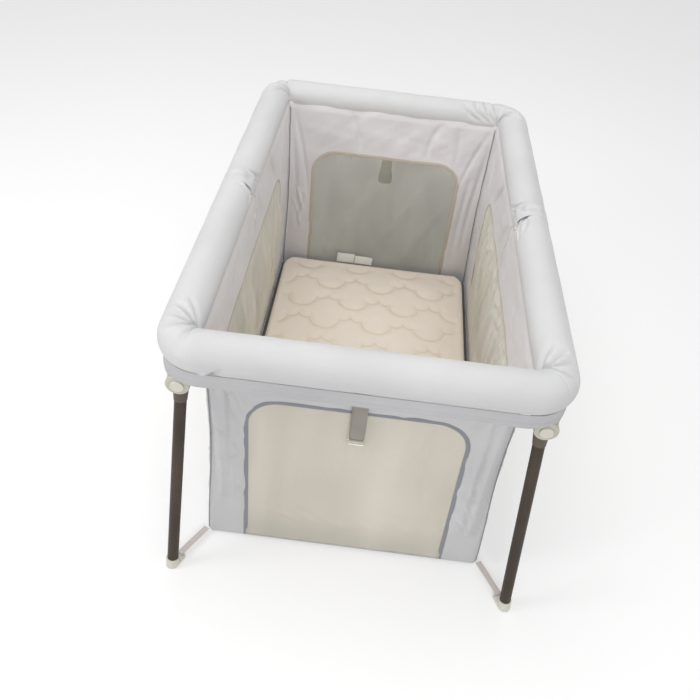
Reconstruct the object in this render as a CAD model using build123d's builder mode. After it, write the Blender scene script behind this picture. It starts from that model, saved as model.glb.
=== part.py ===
# Travel crib: padded top rails on folding legs, with a hanging fabric basket and a lift-out mattress.
# X is across the crib, Y along it with the near end at -Y, Z up from the floor. Millimetres.
# The crib is two half frames joined by a hinge in the middle of each long rail, so most pieces are
# drawn once, for the near left corner, and reflected to the other corners.

import os
from math import cos, radians, sin, sqrt

from build123d import *

os.makedirs("parts", exist_ok=True)

# Rail frame
rail_half_width = 360.0      # crib centre to the middle of a long rail
rail_half_length = 580.0     # crib centre to the middle of an end rail
rail_height = 625.0          # floor to the middle of the rails
tube_radius = 12.5
tube_wall = 1.5
bend_radius = 50.0           # middle line of a corner
bend_steps = 5               # straight stretches round a corner
middle_gap = 1.0             # from the middle plane to each half frame

# Fits
tube_fit = 0.1               # tube in a socket
running_fit = 0.05           # pin in a bore
soft_fit = 0.3               # cloth or foam beside its neighbour
slide_fit = 0.3              # button in its bore
hub_room_fit = 0.4           # foam round the hub
bend_joint = 1.0             # tube end to the start of a bend

# Foam pads and skirt
pad_radius = 42.0
skirt_offset = 30.0          # outside the middle of the rails
skirt_corner_radius = 45.0
skirt_thickness = 1.5
skirt_drop = 62.0            # hem below the middle of the rails
hem_height = 12.0
hem_thickness = 2.6

# Corner hub
socket_wall = 3.5
socket_length = 40.0
pivot_inset_x = 7.0          # leg pivot inside the long rail
pivot_inset_y = 15.0         # leg pivot inside the end rail
pivot_drop = 82.0            # leg pivot below the rails
hub_width = 46.0
hub_neck_start = 24.0        # above the leg pivot, where the ears start to narrow
hub_neck_end = 12.0          # below the rails, where the narrowing ends
ear_radius = 21.0
clevis_gap = 26.0
clevis_clearance = 0.8       # round the sleeve of the leg
boss_radius = 24.0
boss_depth = 12.0
boss_setback = 22.0          # leg pivot to the back of the boss
hub_rounding = 3.0
pin_radius = 4.0
pin_head_radius = 7.0
pin_head_height = 1.6

# Release button
button_radius = 13.5
button_thickness = 8.0
button_bore_depth = 8.0
button_travel = 3.5
button_rounding = 1.5

# Legs
foot_out_x = 25.0            # foot outside the long rail
foot_out_y = 72.0            # foot outside the end rail
knuckle_radius = 14.0
neck_radius = 12.6           # between the knuckle and the sleeve
sleeve_top = 22.5            # pivot to the top of the sleeve, clear of the ears
sleeve_radius = 15.5
sleeve_straight = 16.0
sleeve_length = 40.0
sleeve_end_radius = 13.6
sleeve_floor = 2.0           # closed top of the sleeve, above the tube
leg_hole_radius = 2.5
leg_hole_drop = 74.0

# Feet and their anchor straps
foot_radius = 14.8
foot_length = 25.0
foot_floor = 8.0
foot_rounding = 3.0
tab_reach = 31.0             # leg to the tip of the slotted tab
tab_width = 24.0
tab_bottom = 2.0
tab_thickness = 7.0
tab_corner_radius = 3.0
slot_inset = 6.0             # tip of the tab to the middle of its slot
slot_clearance = 1.0
anchor_width = 15.0
anchor_thickness = 1.4
anchor_rise = 3.0            # strap above the tab where it leaves the slot

# Middle hinge
barrel_radius = 7.0
barrel_clearance = 2.0       # hinge axis above the top of the pads
hinge_pin_radius = 3.0
hinge_pin_head = 1.5
inner_knuckle = 10.0
outer_knuckle = 6.0
knuckle_gap = 0.3
collar_radius = 15.0
collar_length = 7.0
plug_length = 37.0

# Middle lock buttons
lock_setback = 28.0          # from the middle plane
lock_width = 18.0
lock_height = 8.0
lock_stem_radius = 3.0
lock_stem_length = 12.0
lock_rounding = 1.0
lock_recess = 2.0            # below the surface of the pad
lock_travel = 4.0
lock_back_gap = 0.5          # button to the tube when it is pressed
lock_room = 1.0              # slot in the pad, wider than the button by this much

# Basket
wall_thickness = 1.2
wall_bottom = 4.0
wall_top_drop = 5.0          # top edge below the middle of the rails
flare_x = 10.0               # the basket is wider at the floor by this much on each side
flare_y = 16.0
window_top = 465.0
window_bottom = 16.0
window_radius = 75.0
end_window_half_width = 234.0
side_window_half_length = 385.0
binding_width = 10.0
binding_thickness = 1.5
mesh_thickness = 0.6
mesh_fit = 0.2               # edge of the mesh inside the window

# Mattress
mattress_side_gap = 3.5      # to the wall at its narrow top
mattress_height = 52.0
mattress_draw_in = 3.0
mattress_corner_radius = 48.0
mattress_profile = (         # share of the height, inset from the widest outline
    (0.0, 10.0), (0.07, 3.0), (0.18, 0.0), (0.68, 0.0), (0.8, 3.0),
    (0.88, 9.0), (0.94, 22.0), (0.98, 60.0), (1.0, 140.0),
)

# Straps on the end walls
near_strap_offset = 31.0     # inside the middle of the end rail
far_strap_offset = 29.0      # with room for the plate between the strap and the wall
strap_thickness = 1.8
near_strap_width = 31.0
near_strap_length = 200.0
ring_wire_radius = 1.5
ring_width = 41.0
ring_height = 17.0
ring_corner_radius = 3.5
strap_loop_wall = 1.8
far_strap_width = 34.0
far_strap_length = 224.0
stud_plate_width = 44.0
stud_plate_height = 38.0
stud_plate_thickness = 2.4
stud_plate_corner = 4.0
stud_plate_lift = 4.0        # lower edge of the plate above the end of the strap
stud_radius = 5.0
stud_height = 1.6
stud_taper = 12.0

# Places worked out from the sizes above
socket_radius = tube_radius + socket_wall
pad_top = rail_height + pad_radius
hem_z = rail_height - skirt_drop
hinge_z = pad_top + barrel_clearance
wall_top = rail_height - wall_top_drop
wall_top_x = rail_half_width - pad_radius - soft_fit
wall_top_y = rail_half_length - pad_radius - soft_fit
wall_base_x = wall_top_x + flare_x
wall_base_y = wall_top_y + flare_y

pivot = Vector(pivot_inset_x - rail_half_width, pivot_inset_y - rail_half_length, rail_height - pivot_drop)
foot_point = Vector(-(rail_half_width + foot_out_x), -(rail_half_length + foot_out_y), 0)
leg_length = (pivot - foot_point).length
leg_up = (pivot - foot_point).normalized()
hinge_direction = Vector(leg_up.Z, 0, -leg_up.X).normalized()

rail_plane = Plane.XY.offset(rail_height)
leg_plane = Plane(origin=pivot, x_dir=hinge_direction, z_dir=leg_up)
side_plane = Plane(origin=pivot, x_dir=(0, 1, 0), z_dir=hinge_direction)
profile_plane = Plane(origin=pivot, x_dir=hinge_direction, z_dir=hinge_direction.cross(leg_up))
boss_front = Plane(
    origin=(pivot.X, pivot.Y - boss_setback - boss_depth, pivot.Z), x_dir=(1, 0, 0), z_dir=(0, -1, 0)
)
left_rail_section = Plane(
    origin=(-rail_half_width, -middle_gap, rail_height), x_dir=(1, 0, 0), z_dir=(0, -1, 0)
)
hinge_section = Plane(origin=(-rail_half_width, 0, hinge_z), x_dir=(0, 1, 0), z_dir=(1, 0, 0))
lock_section = Plane(
    origin=(-rail_half_width, -lock_setback, rail_height), x_dir=(0, 1, 0), z_dir=(1, 0, 0)
)
end_wall_plane = Plane(
    origin=(0, -wall_base_y, wall_bottom), x_dir=(1, 0, 0), z_dir=(0, -(wall_top - wall_bottom), flare_y)
)
side_wall_plane = Plane(
    origin=(-wall_base_x, 0, wall_bottom), x_dir=(0, -1, 0), z_dir=(-(wall_top - wall_bottom), 0, flare_x)
)

ends = {"near": (), "far": (Plane.XZ,)}
sides = {"left": (), "right": (Plane.YZ,)}


def save(piece, name):
    """Label a finished piece and write it."""
    piece.part.label = name
    export_step(piece.part, f"parts/{name}.step")


def reflected(piece, *planes):
    """The same piece on the other side of each plane."""
    with BuildPart() as copy:
        add(piece.part)
        for plane in planes:
            mirror(about=plane, mode=Mode.REPLACE)
    return copy


def pair(piece):
    """The left piece and its right reflection, as two solids of one piece."""
    with BuildPart() as both:
        add(piece.part)
        mirror(about=Plane.YZ)
    return both


def pad_bottom_at(offset):
    """Height of the underside of a pad at a distance from the middle of its rail."""
    return rail_height - sqrt(pad_radius**2 - offset**2)


def bend_section(turn):
    """The plane across the near left bend of the rails, a turn in degrees on from its side end."""
    across = Vector(-cos(radians(turn)), -sin(radians(turn)), 0)
    centre = Vector(bend_radius - rail_half_width, bend_radius - rail_half_length, rail_height)
    return Plane(origin=centre + across * bend_radius, x_dir=(0, 0, 1), z_dir=(-across.Y, across.X, 0))


side_mouth = bend_section(0)
end_mouth = bend_section(90)


def elbow(radius, side_reach, end_reach):
    """A round bar that follows the rails round the near left corner, with a straight run each way."""
    with BuildPart() as bar:
        for step in range(bend_steps + 1):
            with BuildSketch(bend_section(90 * step / bend_steps)):
                Circle(radius)
        loft(ruled=True)
        for mouth, reach in ((side_mouth, -side_reach), (end_mouth, end_reach)):
            if reach:
                with BuildSketch(mouth):
                    Circle(radius)
                extrude(amount=reach)
    return bar


# Room that the pads leave for the hub and for the corners of the basket
room_length = socket_length + hub_room_fit
with BuildPart() as hub_room:
    add(elbow(socket_radius + hub_room_fit, room_length, room_length).part)
    with BuildSketch(side_plane):
        with Locations((0, pivot_drop / 2)):
            Rectangle(2 * (boss_setback + hub_room_fit), pivot_drop)
    extrude(amount=hub_width / 2 + 2 * hub_room_fit, both=True)
with BuildPart() as basket_room:
    for level, half_x, half_y in (
        (wall_bottom, wall_base_x, wall_base_y), (wall_top + soft_fit, wall_top_x, wall_top_y)
    ):
        with BuildSketch(Plane.XY.offset(level)):
            Rectangle(2 * half_x + soft_fit, 2 * half_y + soft_fit)
    loft(ruled=True)

# Corner hub: elbow with two tube sockets, clevis for the leg, round boss for the release button
with BuildPart() as hub:
    with BuildSketch(side_plane):
        Circle(ear_radius)
        Polygon(
            (-ear_radius, 0), (ear_radius, 0), (ear_radius, hub_neck_start),
            (socket_radius, pivot_drop - hub_neck_end), (-socket_radius, pivot_drop - hub_neck_end),
            (-ear_radius, hub_neck_start), align=None,
        )
    extrude(amount=hub_width / 2, both=True)
    ear_faces = hub.faces().sort_by(Axis.X)
    fillet(ear_faces[0].edges() + ear_faces[-1].edges(), hub_rounding)
    with BuildSketch(boss_front):
        Circle(boss_radius)
    extrude(amount=-boss_depth - (boss_setback - ear_radius) - hub_rounding)
    fillet(hub.faces().sort_by(Axis.Y)[0].edges(), hub_rounding)
    add(elbow(socket_radius, socket_length, socket_length).part)
    for mouth, reach in ((side_mouth, -socket_length), (end_mouth, socket_length)):
        with BuildSketch(mouth):
            Circle(tube_radius + tube_fit)
        extrude(amount=reach, mode=Mode.SUBTRACT)
    with BuildSketch(side_plane):
        slot_radius = sleeve_radius + clevis_clearance
        Circle(slot_radius)
        with Locations((-boss_setback, 0)):
            Rectangle(4 * boss_setback, 3 * ear_radius, align=(Align.MIN, Align.MAX))
        Rectangle(3 * ear_radius, slot_radius, align=(Align.MIN, Align.MIN))
    extrude(amount=clevis_gap / 2, both=True, mode=Mode.SUBTRACT)
    with BuildSketch(side_plane):
        Circle(pin_radius + running_fit)
    extrude(amount=hub_width, both=True, mode=Mode.SUBTRACT)
    with BuildSketch(boss_front):
        Circle(button_radius + slide_fit)
    extrude(amount=-button_bore_depth, mode=Mode.SUBTRACT)

# Pin through the clevis and the leg, with a domed head on each side
with BuildPart() as leg_pin:
    with BuildSketch(side_plane):
        Circle(pin_radius)
    extrude(amount=hub_width / 2, both=True)
    for face in leg_pin.faces().filter_by(GeomType.PLANE):
        with BuildSketch(Plane(face)):
            Circle(pin_head_radius)
        extrude(amount=pin_head_height, taper=35)

# Release button in the boss
with BuildPart() as button:
    with BuildSketch(boss_front.offset(button_thickness - button_bore_depth + button_travel + slide_fit)):
        Circle(button_radius)
    extrude(amount=-button_thickness)
    fillet(button.faces().sort_by(Axis.Y)[0].edges(), button_rounding)

# Leg: knuckle in the clevis, round tube, foot with a slotted tab
with BuildPart() as knuckle:
    with BuildSketch(side_plane):
        Circle(knuckle_radius)
    extrude(amount=clevis_gap / 2 - slide_fit, both=True)
    with BuildSketch(profile_plane):
        Polygon(
            (0, 0), (neck_radius, 0), (neck_radius, -sleeve_top), (sleeve_radius, -sleeve_top),
            (sleeve_radius, -sleeve_top - sleeve_straight),
            (sleeve_end_radius, -sleeve_top - sleeve_length), (0, -sleeve_top - sleeve_length), align=None,
        )
    revolve(axis=Axis(pivot, leg_up))
    with BuildSketch(leg_plane.offset(-sleeve_top - sleeve_length)):
        Circle(tube_radius + tube_fit)
    extrude(amount=sleeve_length - sleeve_floor, mode=Mode.SUBTRACT)
    with BuildSketch(side_plane):
        Circle(pin_radius + running_fit)
    extrude(amount=hub_width, both=True, mode=Mode.SUBTRACT)

tube_top = sleeve_top + sleeve_floor + tube_fit
with BuildPart() as leg_tube:
    with BuildSketch(leg_plane.offset(-tube_top)):
        Circle(tube_radius)
        Circle(tube_radius - tube_wall, mode=Mode.SUBTRACT)
    extrude(amount=-(leg_length - tube_top - foot_floor - tube_fit))
    with BuildSketch(side_plane):
        with Locations(side_plane.to_local_coords(pivot - leg_up * leg_hole_drop)):
            Circle(leg_hole_radius)
    extrude(amount=2 * tube_radius, mode=Mode.SUBTRACT)

corner_point = Vector(-wall_base_x, -wall_base_y, 0)
anchor_direction = (corner_point - foot_point).normalized()
tab_plane = Plane(origin=foot_point + Vector(0, 0, tab_bottom), x_dir=anchor_direction, z_dir=(0, 0, 1))
foot_plane = Plane(origin=foot_point, x_dir=hinge_direction, z_dir=leg_up)
slot_place = tab_reach - slot_inset
with BuildPart() as foot:
    with BuildSketch(foot_plane.offset(-foot_radius)):
        Circle(foot_radius)
    extrude(amount=foot_length + foot_radius)
    with BuildSketch(Plane.XY):
        with Locations((foot_point.X, foot_point.Y)):
            Rectangle(6 * foot_radius, 6 * foot_radius)
    extrude(amount=-2 * foot_radius, mode=Mode.SUBTRACT)
    fillet(foot.faces().sort_by(Axis.Z)[0].edges(), foot_rounding)
    with BuildSketch(tab_plane):
        Circle(foot_radius - 1)
        with Locations((tab_reach, 0)):
            RectangleRounded(
                2 * slot_inset, tab_width, tab_corner_radius, align=(Align.MAX, Align.CENTER)
            )
        make_hull()
    extrude(amount=tab_thickness)
    with BuildSketch(tab_plane):
        with Locations((slot_place, 0)):
            Rectangle(anchor_thickness + slot_clearance, anchor_width + slot_clearance)
    extrude(amount=2 * tab_thickness, both=True, mode=Mode.SUBTRACT)
    with BuildSketch(foot_plane.offset(foot_floor)):
        Circle(tube_radius + tube_fit)
    extrude(amount=foot_length, mode=Mode.SUBTRACT)

# Anchor strap: down through the slot of the tab, and up to the corner of the basket
anchor_run = (corner_point - foot_point).length - slot_place - soft_fit * 2
anchor_side = Plane(
    origin=tab_plane.from_local_coords((slot_place, 0, 0)), x_dir=anchor_direction,
    z_dir=anchor_direction.cross(Vector(0, 0, 1)),
)
with BuildPart() as anchor:
    half = anchor_thickness / 2
    strap_level = tab_thickness + anchor_rise
    with BuildSketch(anchor_side):
        Polygon(
            (-half, 0), (half, 0), (half, strap_level), (anchor_run, strap_level),
            (anchor_run, strap_level + anchor_thickness), (-half, strap_level + anchor_thickness), align=None,
        )
    extrude(amount=anchor_width / 2, both=True)

for end, over_end in ends.items():
    for side, over_side in sides.items():
        planes = (*over_end, *over_side)
        save(reflected(hub, *planes), f"{end}_{side}_hub")
        save(reflected(button, *planes), f"{end}_{side}_leg_button")
        save(reflected(knuckle, *planes), f"{end}_{side}_leg_knuckle")
        save(reflected(leg_tube, *planes), f"{end}_{side}_leg_tube")
        save(reflected(foot, *planes), f"{end}_{side}_foot")
        save(reflected(anchor, *planes), f"{end}_{side}_anchor_strap")
    save(reflected(pair(leg_pin), *over_end), f"{end}_leg_pins")

# Rail tubes of a half frame: one across the end, one along each side
side_tube_end = middle_gap + collar_length + tube_fit
with BuildPart() as side_tube:
    with BuildSketch(left_rail_section.offset(side_tube_end - middle_gap)):
        Circle(tube_radius)
        Circle(tube_radius - tube_wall, mode=Mode.SUBTRACT)
    extrude(amount=rail_half_length - bend_radius - bend_joint - side_tube_end)
with BuildPart() as lock_hole:
    with BuildSketch(lock_section):
        Circle(lock_stem_radius + slide_fit)
    extrude(amount=2 * tube_radius)
with BuildPart() as near_side_tube:
    add(side_tube.part)
    add(lock_hole.part, mode=Mode.SUBTRACT)
with BuildPart() as end_tube:
    with BuildSketch(end_mouth.offset(bend_joint)):
        Circle(tube_radius)
        Circle(tube_radius - tube_wall, mode=Mode.SUBTRACT)
    extrude(amount=2 * (rail_half_width - bend_radius - bend_joint))
for end, tube in (("near", near_side_tube), ("far", side_tube)):
    with BuildPart() as rail_tubes:
        add(end_tube.part)
        add(pair(tube).part)
    save(reflected(rail_tubes, *ends[end]), f"{end}_rail_tubes")

# Middle hinge: each leaf has a plug in the tube, a collar at its end and arms up to the barrel
with BuildPart() as leaf_root:
    with BuildSketch(left_rail_section):
        Circle(collar_radius)
    extrude(amount=collar_length)
    with BuildSketch(left_rail_section.offset(collar_length)):
        Circle(tube_radius - tube_wall - tube_fit)
    extrude(amount=plug_length)


def hinge_arm(thickness, offset):
    """An arm from the collar up to the barrel, with its knuckle, centred at an offset along the pin."""
    with BuildPart() as arm:
        with BuildSketch(hinge_section.offset(offset)):
            Circle(barrel_radius)
            with Locations((-middle_gap, -pad_radius - barrel_clearance)):
                Rectangle(collar_length, pad_radius + barrel_clearance, align=(Align.MAX, Align.MIN))
            Circle(hinge_pin_radius + running_fit, mode=Mode.SUBTRACT)
        extrude(amount=thickness / 2, both=True)
    return arm


outer_offset = inner_knuckle / 2 + knuckle_gap + outer_knuckle / 2
with BuildPart() as near_leaf:
    add(leaf_root.part)
    add(hinge_arm(inner_knuckle, 0).part)
    add(lock_hole.part, mode=Mode.SUBTRACT)
with BuildPart() as far_leaf:
    add(leaf_root.part)
    for offset in (-outer_offset, outer_offset):
        add(hinge_arm(outer_knuckle, offset).part)
pin_half_length = outer_offset + outer_knuckle / 2 + knuckle_gap
with BuildPart() as hinge_pin:
    with BuildSketch(hinge_section):
        Circle(hinge_pin_radius)
    extrude(amount=pin_half_length, both=True)
    for face in hinge_pin.faces().filter_by(GeomType.PLANE):
        with BuildSketch(Plane(face)):
            Circle(hinge_pin_radius + hinge_pin_head)
        extrude(amount=hinge_pin_head)
save(pair(near_leaf), "near_hinge_leaves")
save(reflected(pair(far_leaf), Plane.XZ), "far_hinge_leaves")
save(pair(hinge_pin), "middle_hinge_pins")

# Lock button on the inner side of each long rail, beside the middle hinge
lock_face = pad_radius - lock_recess
stem_face = tube_radius + lock_travel + lock_back_gap
with BuildPart() as lock_button:
    with BuildSketch(lock_section.offset(stem_face)):
        SlotOverall(lock_width, lock_height)
    extrude(amount=lock_face - stem_face)
    fillet(lock_button.faces().sort_by(Axis.X)[-1].edges(), lock_rounding)
    with BuildSketch(lock_section.offset(stem_face)):
        Circle(lock_stem_radius)
    extrude(amount=-lock_stem_length)
for side, over_side in sides.items():
    save(reflected(lock_button, *over_side), f"{side}_lock_button")

# Foam pads round the rails
pin_room = pin_half_length + hinge_pin_head + 1
with BuildPart() as side_pad:
    with BuildSketch(left_rail_section):
        Circle(pad_radius)
        Circle(tube_radius + soft_fit, mode=Mode.SUBTRACT)
    extrude(amount=rail_half_length - bend_radius - middle_gap)
    add(hub_room.part, mode=Mode.SUBTRACT)
    with BuildSketch(left_rail_section):
        Circle(collar_radius + soft_fit)
        Rectangle(2 * pin_room, 2 * pad_radius, align=(Align.CENTER, Align.MIN))
    extrude(amount=collar_length + soft_fit, mode=Mode.SUBTRACT)
with BuildPart() as near_side_pad:
    add(side_pad.part)
    with BuildSketch(lock_section):
        SlotOverall(lock_width + lock_room, lock_height + lock_room)
    extrude(amount=2 * pad_radius, mode=Mode.SUBTRACT)
half_end = rail_half_width - bend_radius
with BuildPart() as half_end_pad:
    add(elbow(pad_radius, 0, half_end).part)
    add(elbow(tube_radius + soft_fit, 0, half_end).part, mode=Mode.SUBTRACT)
    add(hub_room.part, mode=Mode.SUBTRACT)
    add(basket_room.part, mode=Mode.SUBTRACT)
end_pad = pair(half_end_pad)
for end, over_end in ends.items():
    save(reflected(end_pad, *over_end), f"{end}_end_pad")
    for side, over_side in sides.items():
        pad = near_side_pad if end == "near" else side_pad
        save(reflected(pad, *over_end, *over_side), f"{end}_{side}_pad")

# Skirt below the outer side of the pads, with a thicker hem
skirt_height = pad_bottom_at(skirt_offset) - soft_fit - hem_z
with BuildPart() as skirt:
    for thickness, height in ((skirt_thickness, skirt_height), (hem_thickness, hem_height)):
        with BuildSketch(Plane.XY.offset(hem_z)):
            for grow, mode in ((thickness, Mode.ADD), (0, Mode.SUBTRACT)):
                RectangleRounded(
                    2 * (rail_half_width + skirt_offset + grow), 2 * (rail_half_length + skirt_offset + grow),
                    skirt_corner_radius + grow, mode=mode,
                )
            with Locations((0, -middle_gap)):
                Rectangle(
                    4 * rail_half_width, 4 * rail_half_length, align=(Align.CENTER, Align.MIN),
                    mode=Mode.SUBTRACT,
                )
        extrude(amount=height)
for end, over_end in ends.items():
    save(reflected(skirt, *over_end), f"{end}_skirt")

# Basket walls: mitred sheets that lean out towards the floor, with a round-topped window in each
inner_x = wall_base_x - wall_thickness
inner_y = wall_base_y - wall_thickness


def window(half_width, grow):
    """Outline of a window, grown or shrunk by a margin, standing on the lower edge of the window."""
    with BuildSketch(mode=Mode.PRIVATE) as outline:
        with Locations((0, window_bottom - wall_bottom)):
            Rectangle(
                2 * (half_width + grow), window_top - window_bottom + grow, align=(Align.CENTER, Align.MIN)
            )
        fillet(outline.vertices().sort_by(Axis.Y)[-2:], window_radius + grow)
    return outline.sketch


with BuildPart() as end_panel:
    for level, shift_x, shift_y in ((wall_bottom, 0, 0), (wall_top, flare_x, flare_y)):
        with BuildSketch(Plane.XY.offset(level)):
            Polygon(
                (shift_x - wall_base_x, shift_y - wall_base_y),
                (wall_base_x - shift_x, shift_y - wall_base_y),
                (inner_x - shift_x, shift_y - inner_y),
                (shift_x - inner_x, shift_y - inner_y), align=None,
            )
    loft(ruled=True)
    with BuildSketch(end_wall_plane):
        add(window(end_window_half_width, 0))
    extrude(amount=2 * wall_thickness, both=True, mode=Mode.SUBTRACT)
with BuildPart() as side_panel:
    for level, shift_x, shift_y in ((wall_bottom, 0, 0), (wall_top, flare_x, flare_y)):
        with BuildSketch(Plane.XY.offset(level)):
            Polygon(
                (shift_x - wall_base_x, shift_y - wall_base_y), (shift_x - inner_x, shift_y - inner_y),
                (shift_x - inner_x, -middle_gap), (shift_x - wall_base_x, -middle_gap), align=None,
            )
    loft(ruled=True)
    with BuildSketch(side_wall_plane):
        add(window(side_window_half_length, 0))
    extrude(amount=2 * wall_thickness, both=True, mode=Mode.SUBTRACT)


def wall_piece(plane, half_width, outer, inner, depth, cut_middle):
    """A sheet or a frame that follows the outline of a window, on the outer face of a wall."""
    with BuildPart() as piece:
        with BuildSketch(plane):
            add(window(half_width, outer))
            if inner is not None:
                add(window(half_width, inner), mode=Mode.SUBTRACT)
            if cut_middle:
                with Locations((middle_gap, 0)):
                    Rectangle(
                        4 * half_width, 4 * window_top, align=(Align.MAX, Align.CENTER), mode=Mode.SUBTRACT
                    )
        extrude(amount=depth)
    return piece


edge = binding_width / 2
end_binding = wall_piece(end_wall_plane, end_window_half_width, edge, -edge, binding_thickness, False)
end_mesh = wall_piece(end_wall_plane, end_window_half_width, -mesh_fit, None, -mesh_thickness, False)
side_binding = wall_piece(side_wall_plane, side_window_half_length, edge, -edge, binding_thickness, True)
side_mesh = wall_piece(side_wall_plane, side_window_half_length, -mesh_fit, None, -mesh_thickness, True)
for end, over_end in ends.items():
    save(reflected(end_panel, *over_end), f"{end}_end_panel")
    save(reflected(end_binding, *over_end), f"{end}_end_binding")
    save(reflected(end_mesh, *over_end), f"{end}_end_mesh")
    save(reflected(pair(side_panel), *over_end), f"{end}_side_panels")
    save(reflected(pair(side_binding), *over_end), f"{end}_side_bindings")
    save(reflected(pair(side_mesh), *over_end), f"{end}_side_meshes")

with BuildPart() as floor_sheet:
    with BuildSketch(Plane.XY.offset(wall_bottom)):
        Rectangle(2 * (inner_x - soft_fit), 2 * (inner_y - soft_fit))
    extrude(amount=wall_thickness)
save(floor_sheet, "floor_sheet")

# Mattress: crowned on top, its sides drawn in a little between rounded corners
mattress_bottom = wall_bottom + wall_thickness + soft_fit
mattress_x = wall_top_x - wall_thickness - mattress_side_gap
mattress_y = wall_top_y - wall_thickness - mattress_side_gap


def mattress_outline(inset):
    """The mattress from above, smaller by an inset on every side."""
    half_x = mattress_x - inset
    half_y = mattress_y - inset
    with BuildSketch(mode=Mode.PRIVATE) as outline:
        with BuildLine():
            ThreePointArc((-half_x, -half_y), (0, mattress_draw_in - half_y), (half_x, -half_y))
            ThreePointArc((half_x, -half_y), (half_x - mattress_draw_in, 0), (half_x, half_y))
            ThreePointArc((half_x, half_y), (0, half_y - mattress_draw_in), (-half_x, half_y))
            ThreePointArc((-half_x, half_y), (mattress_draw_in - half_x, 0), (-half_x, -half_y))
        make_face()
        fillet(outline.vertices(), mattress_corner_radius)
    return outline.sketch


with BuildPart() as mattress:
    for share, inset in mattress_profile:
        with BuildSketch(Plane.XY.offset(mattress_bottom + share * mattress_height)):
            add(mattress_outline(inset))
    loft(ruled=True)
save(mattress, "mattress")

# Tie straps outside the end walls: a wire ring on the near one, a plate with a stud on the far one
near_strap_top = pad_bottom_at(near_strap_offset - strap_thickness / 2) - soft_fit
near_strap_y = near_strap_offset - rail_half_length
loop_radius = ring_wire_radius + soft_fit + strap_loop_wall
ring_z = near_strap_top - near_strap_length - ring_wire_radius - soft_fit - strap_loop_wall / 2
ring_axis_plane = Plane(origin=(0, near_strap_y, ring_z), x_dir=(0, 1, 0), z_dir=(1, 0, 0))
with BuildPart() as near_strap:
    with BuildSketch(Plane(origin=(0, near_strap_y, near_strap_top), z_dir=(0, 0, 1))):
        Rectangle(near_strap_width, strap_thickness)
    extrude(amount=-near_strap_length)
    with BuildSketch(ring_axis_plane):
        Circle(loop_radius)
    extrude(amount=near_strap_width / 2, both=True)
    with BuildSketch(ring_axis_plane):
        Circle(ring_wire_radius + soft_fit)
    extrude(amount=near_strap_width, both=True, mode=Mode.SUBTRACT)
save(near_strap, "near_tie_strap")

with BuildPart() as strap_ring:
    bar = ring_width - 2 * ring_wire_radius
    drop = ring_height - 2 * ring_wire_radius
    with BuildLine(Plane(origin=(0, near_strap_y, ring_z), x_dir=(1, 0, 0), z_dir=(0, -1, 0))) as ring_line:
        Polyline((-bar / 2, 0), (bar / 2, 0), (bar / 2, -drop), (-bar / 2, -drop), close=True)
        fillet(ring_line.vertices(), ring_corner_radius)
    with BuildSketch(ring_line.line ^ 0):
        Circle(ring_wire_radius)
    sweep()
save(strap_ring, "strap_ring")

far_strap_top = pad_bottom_at(far_strap_offset - strap_thickness / 2) - soft_fit
far_strap_y = rail_half_length - far_strap_offset
with BuildPart() as far_strap:
    with BuildSketch(Plane(origin=(0, far_strap_y, far_strap_top), z_dir=(0, 0, 1))):
        Rectangle(far_strap_width, strap_thickness)
    extrude(amount=-far_strap_length)
save(far_strap, "far_tie_strap")

with BuildPart() as stud_plate:
    plate_z = far_strap_top - far_strap_length + stud_plate_lift + stud_plate_height / 2
    with BuildSketch(
        Plane(origin=(0, far_strap_y - strap_thickness / 2, plate_z), x_dir=(1, 0, 0), z_dir=(0, -1, 0))
    ):
        RectangleRounded(stud_plate_width, stud_plate_height, stud_plate_corner)
    extrude(amount=stud_plate_thickness)
    with BuildSketch(Plane(stud_plate.faces().sort_by(Axis.Y)[0])):
        Circle(stud_radius)
    extrude(amount=stud_height, taper=stud_taper)
save(stud_plate, "strap_stud_plate")
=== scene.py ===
import bpy
import numpy as np
from mathutils import Matrix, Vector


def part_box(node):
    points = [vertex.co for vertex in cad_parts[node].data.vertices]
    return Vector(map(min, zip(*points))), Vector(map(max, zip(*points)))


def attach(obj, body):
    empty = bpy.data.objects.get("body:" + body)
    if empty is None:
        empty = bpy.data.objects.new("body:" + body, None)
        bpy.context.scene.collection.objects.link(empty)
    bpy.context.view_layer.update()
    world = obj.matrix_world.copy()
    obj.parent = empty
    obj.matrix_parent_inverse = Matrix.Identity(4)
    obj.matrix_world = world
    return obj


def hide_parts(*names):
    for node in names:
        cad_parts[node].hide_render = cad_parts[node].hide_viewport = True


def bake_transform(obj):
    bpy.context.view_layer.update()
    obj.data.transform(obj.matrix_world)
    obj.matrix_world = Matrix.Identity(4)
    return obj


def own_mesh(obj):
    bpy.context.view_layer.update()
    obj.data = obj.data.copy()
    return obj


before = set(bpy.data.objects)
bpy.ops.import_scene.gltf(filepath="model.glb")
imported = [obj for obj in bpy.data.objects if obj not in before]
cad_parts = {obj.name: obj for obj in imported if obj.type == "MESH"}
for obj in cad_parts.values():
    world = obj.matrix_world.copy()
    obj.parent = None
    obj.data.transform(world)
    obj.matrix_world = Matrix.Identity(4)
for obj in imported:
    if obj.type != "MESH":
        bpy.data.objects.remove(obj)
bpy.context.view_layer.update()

pi = np.pi
print("frame loaded")

# Sizes shared by several pieces
# They repeat the frame's own sizes, in metres.
rail = {"x": 0.36, "y": 0.58, "z": 0.625, "bend": 0.05, "radius": 0.042}
wall = {"topX": 0.3177, "topY": 0.5377, "baseX": 0.3277, "baseY": 0.5537, "topZ": 0.62, "baseZ": 0.004,
        "thick": 0.0012, "corner": 0.016, "tuck": 0.004,
        "drawIn": 0.006}
window = {"top": 0.465, "bottom": 0.016, "corner": 0.075, "endHalf": 0.234, "sideHalf": 0.385}
ends = (("near", -1), ("far", 1))


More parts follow.
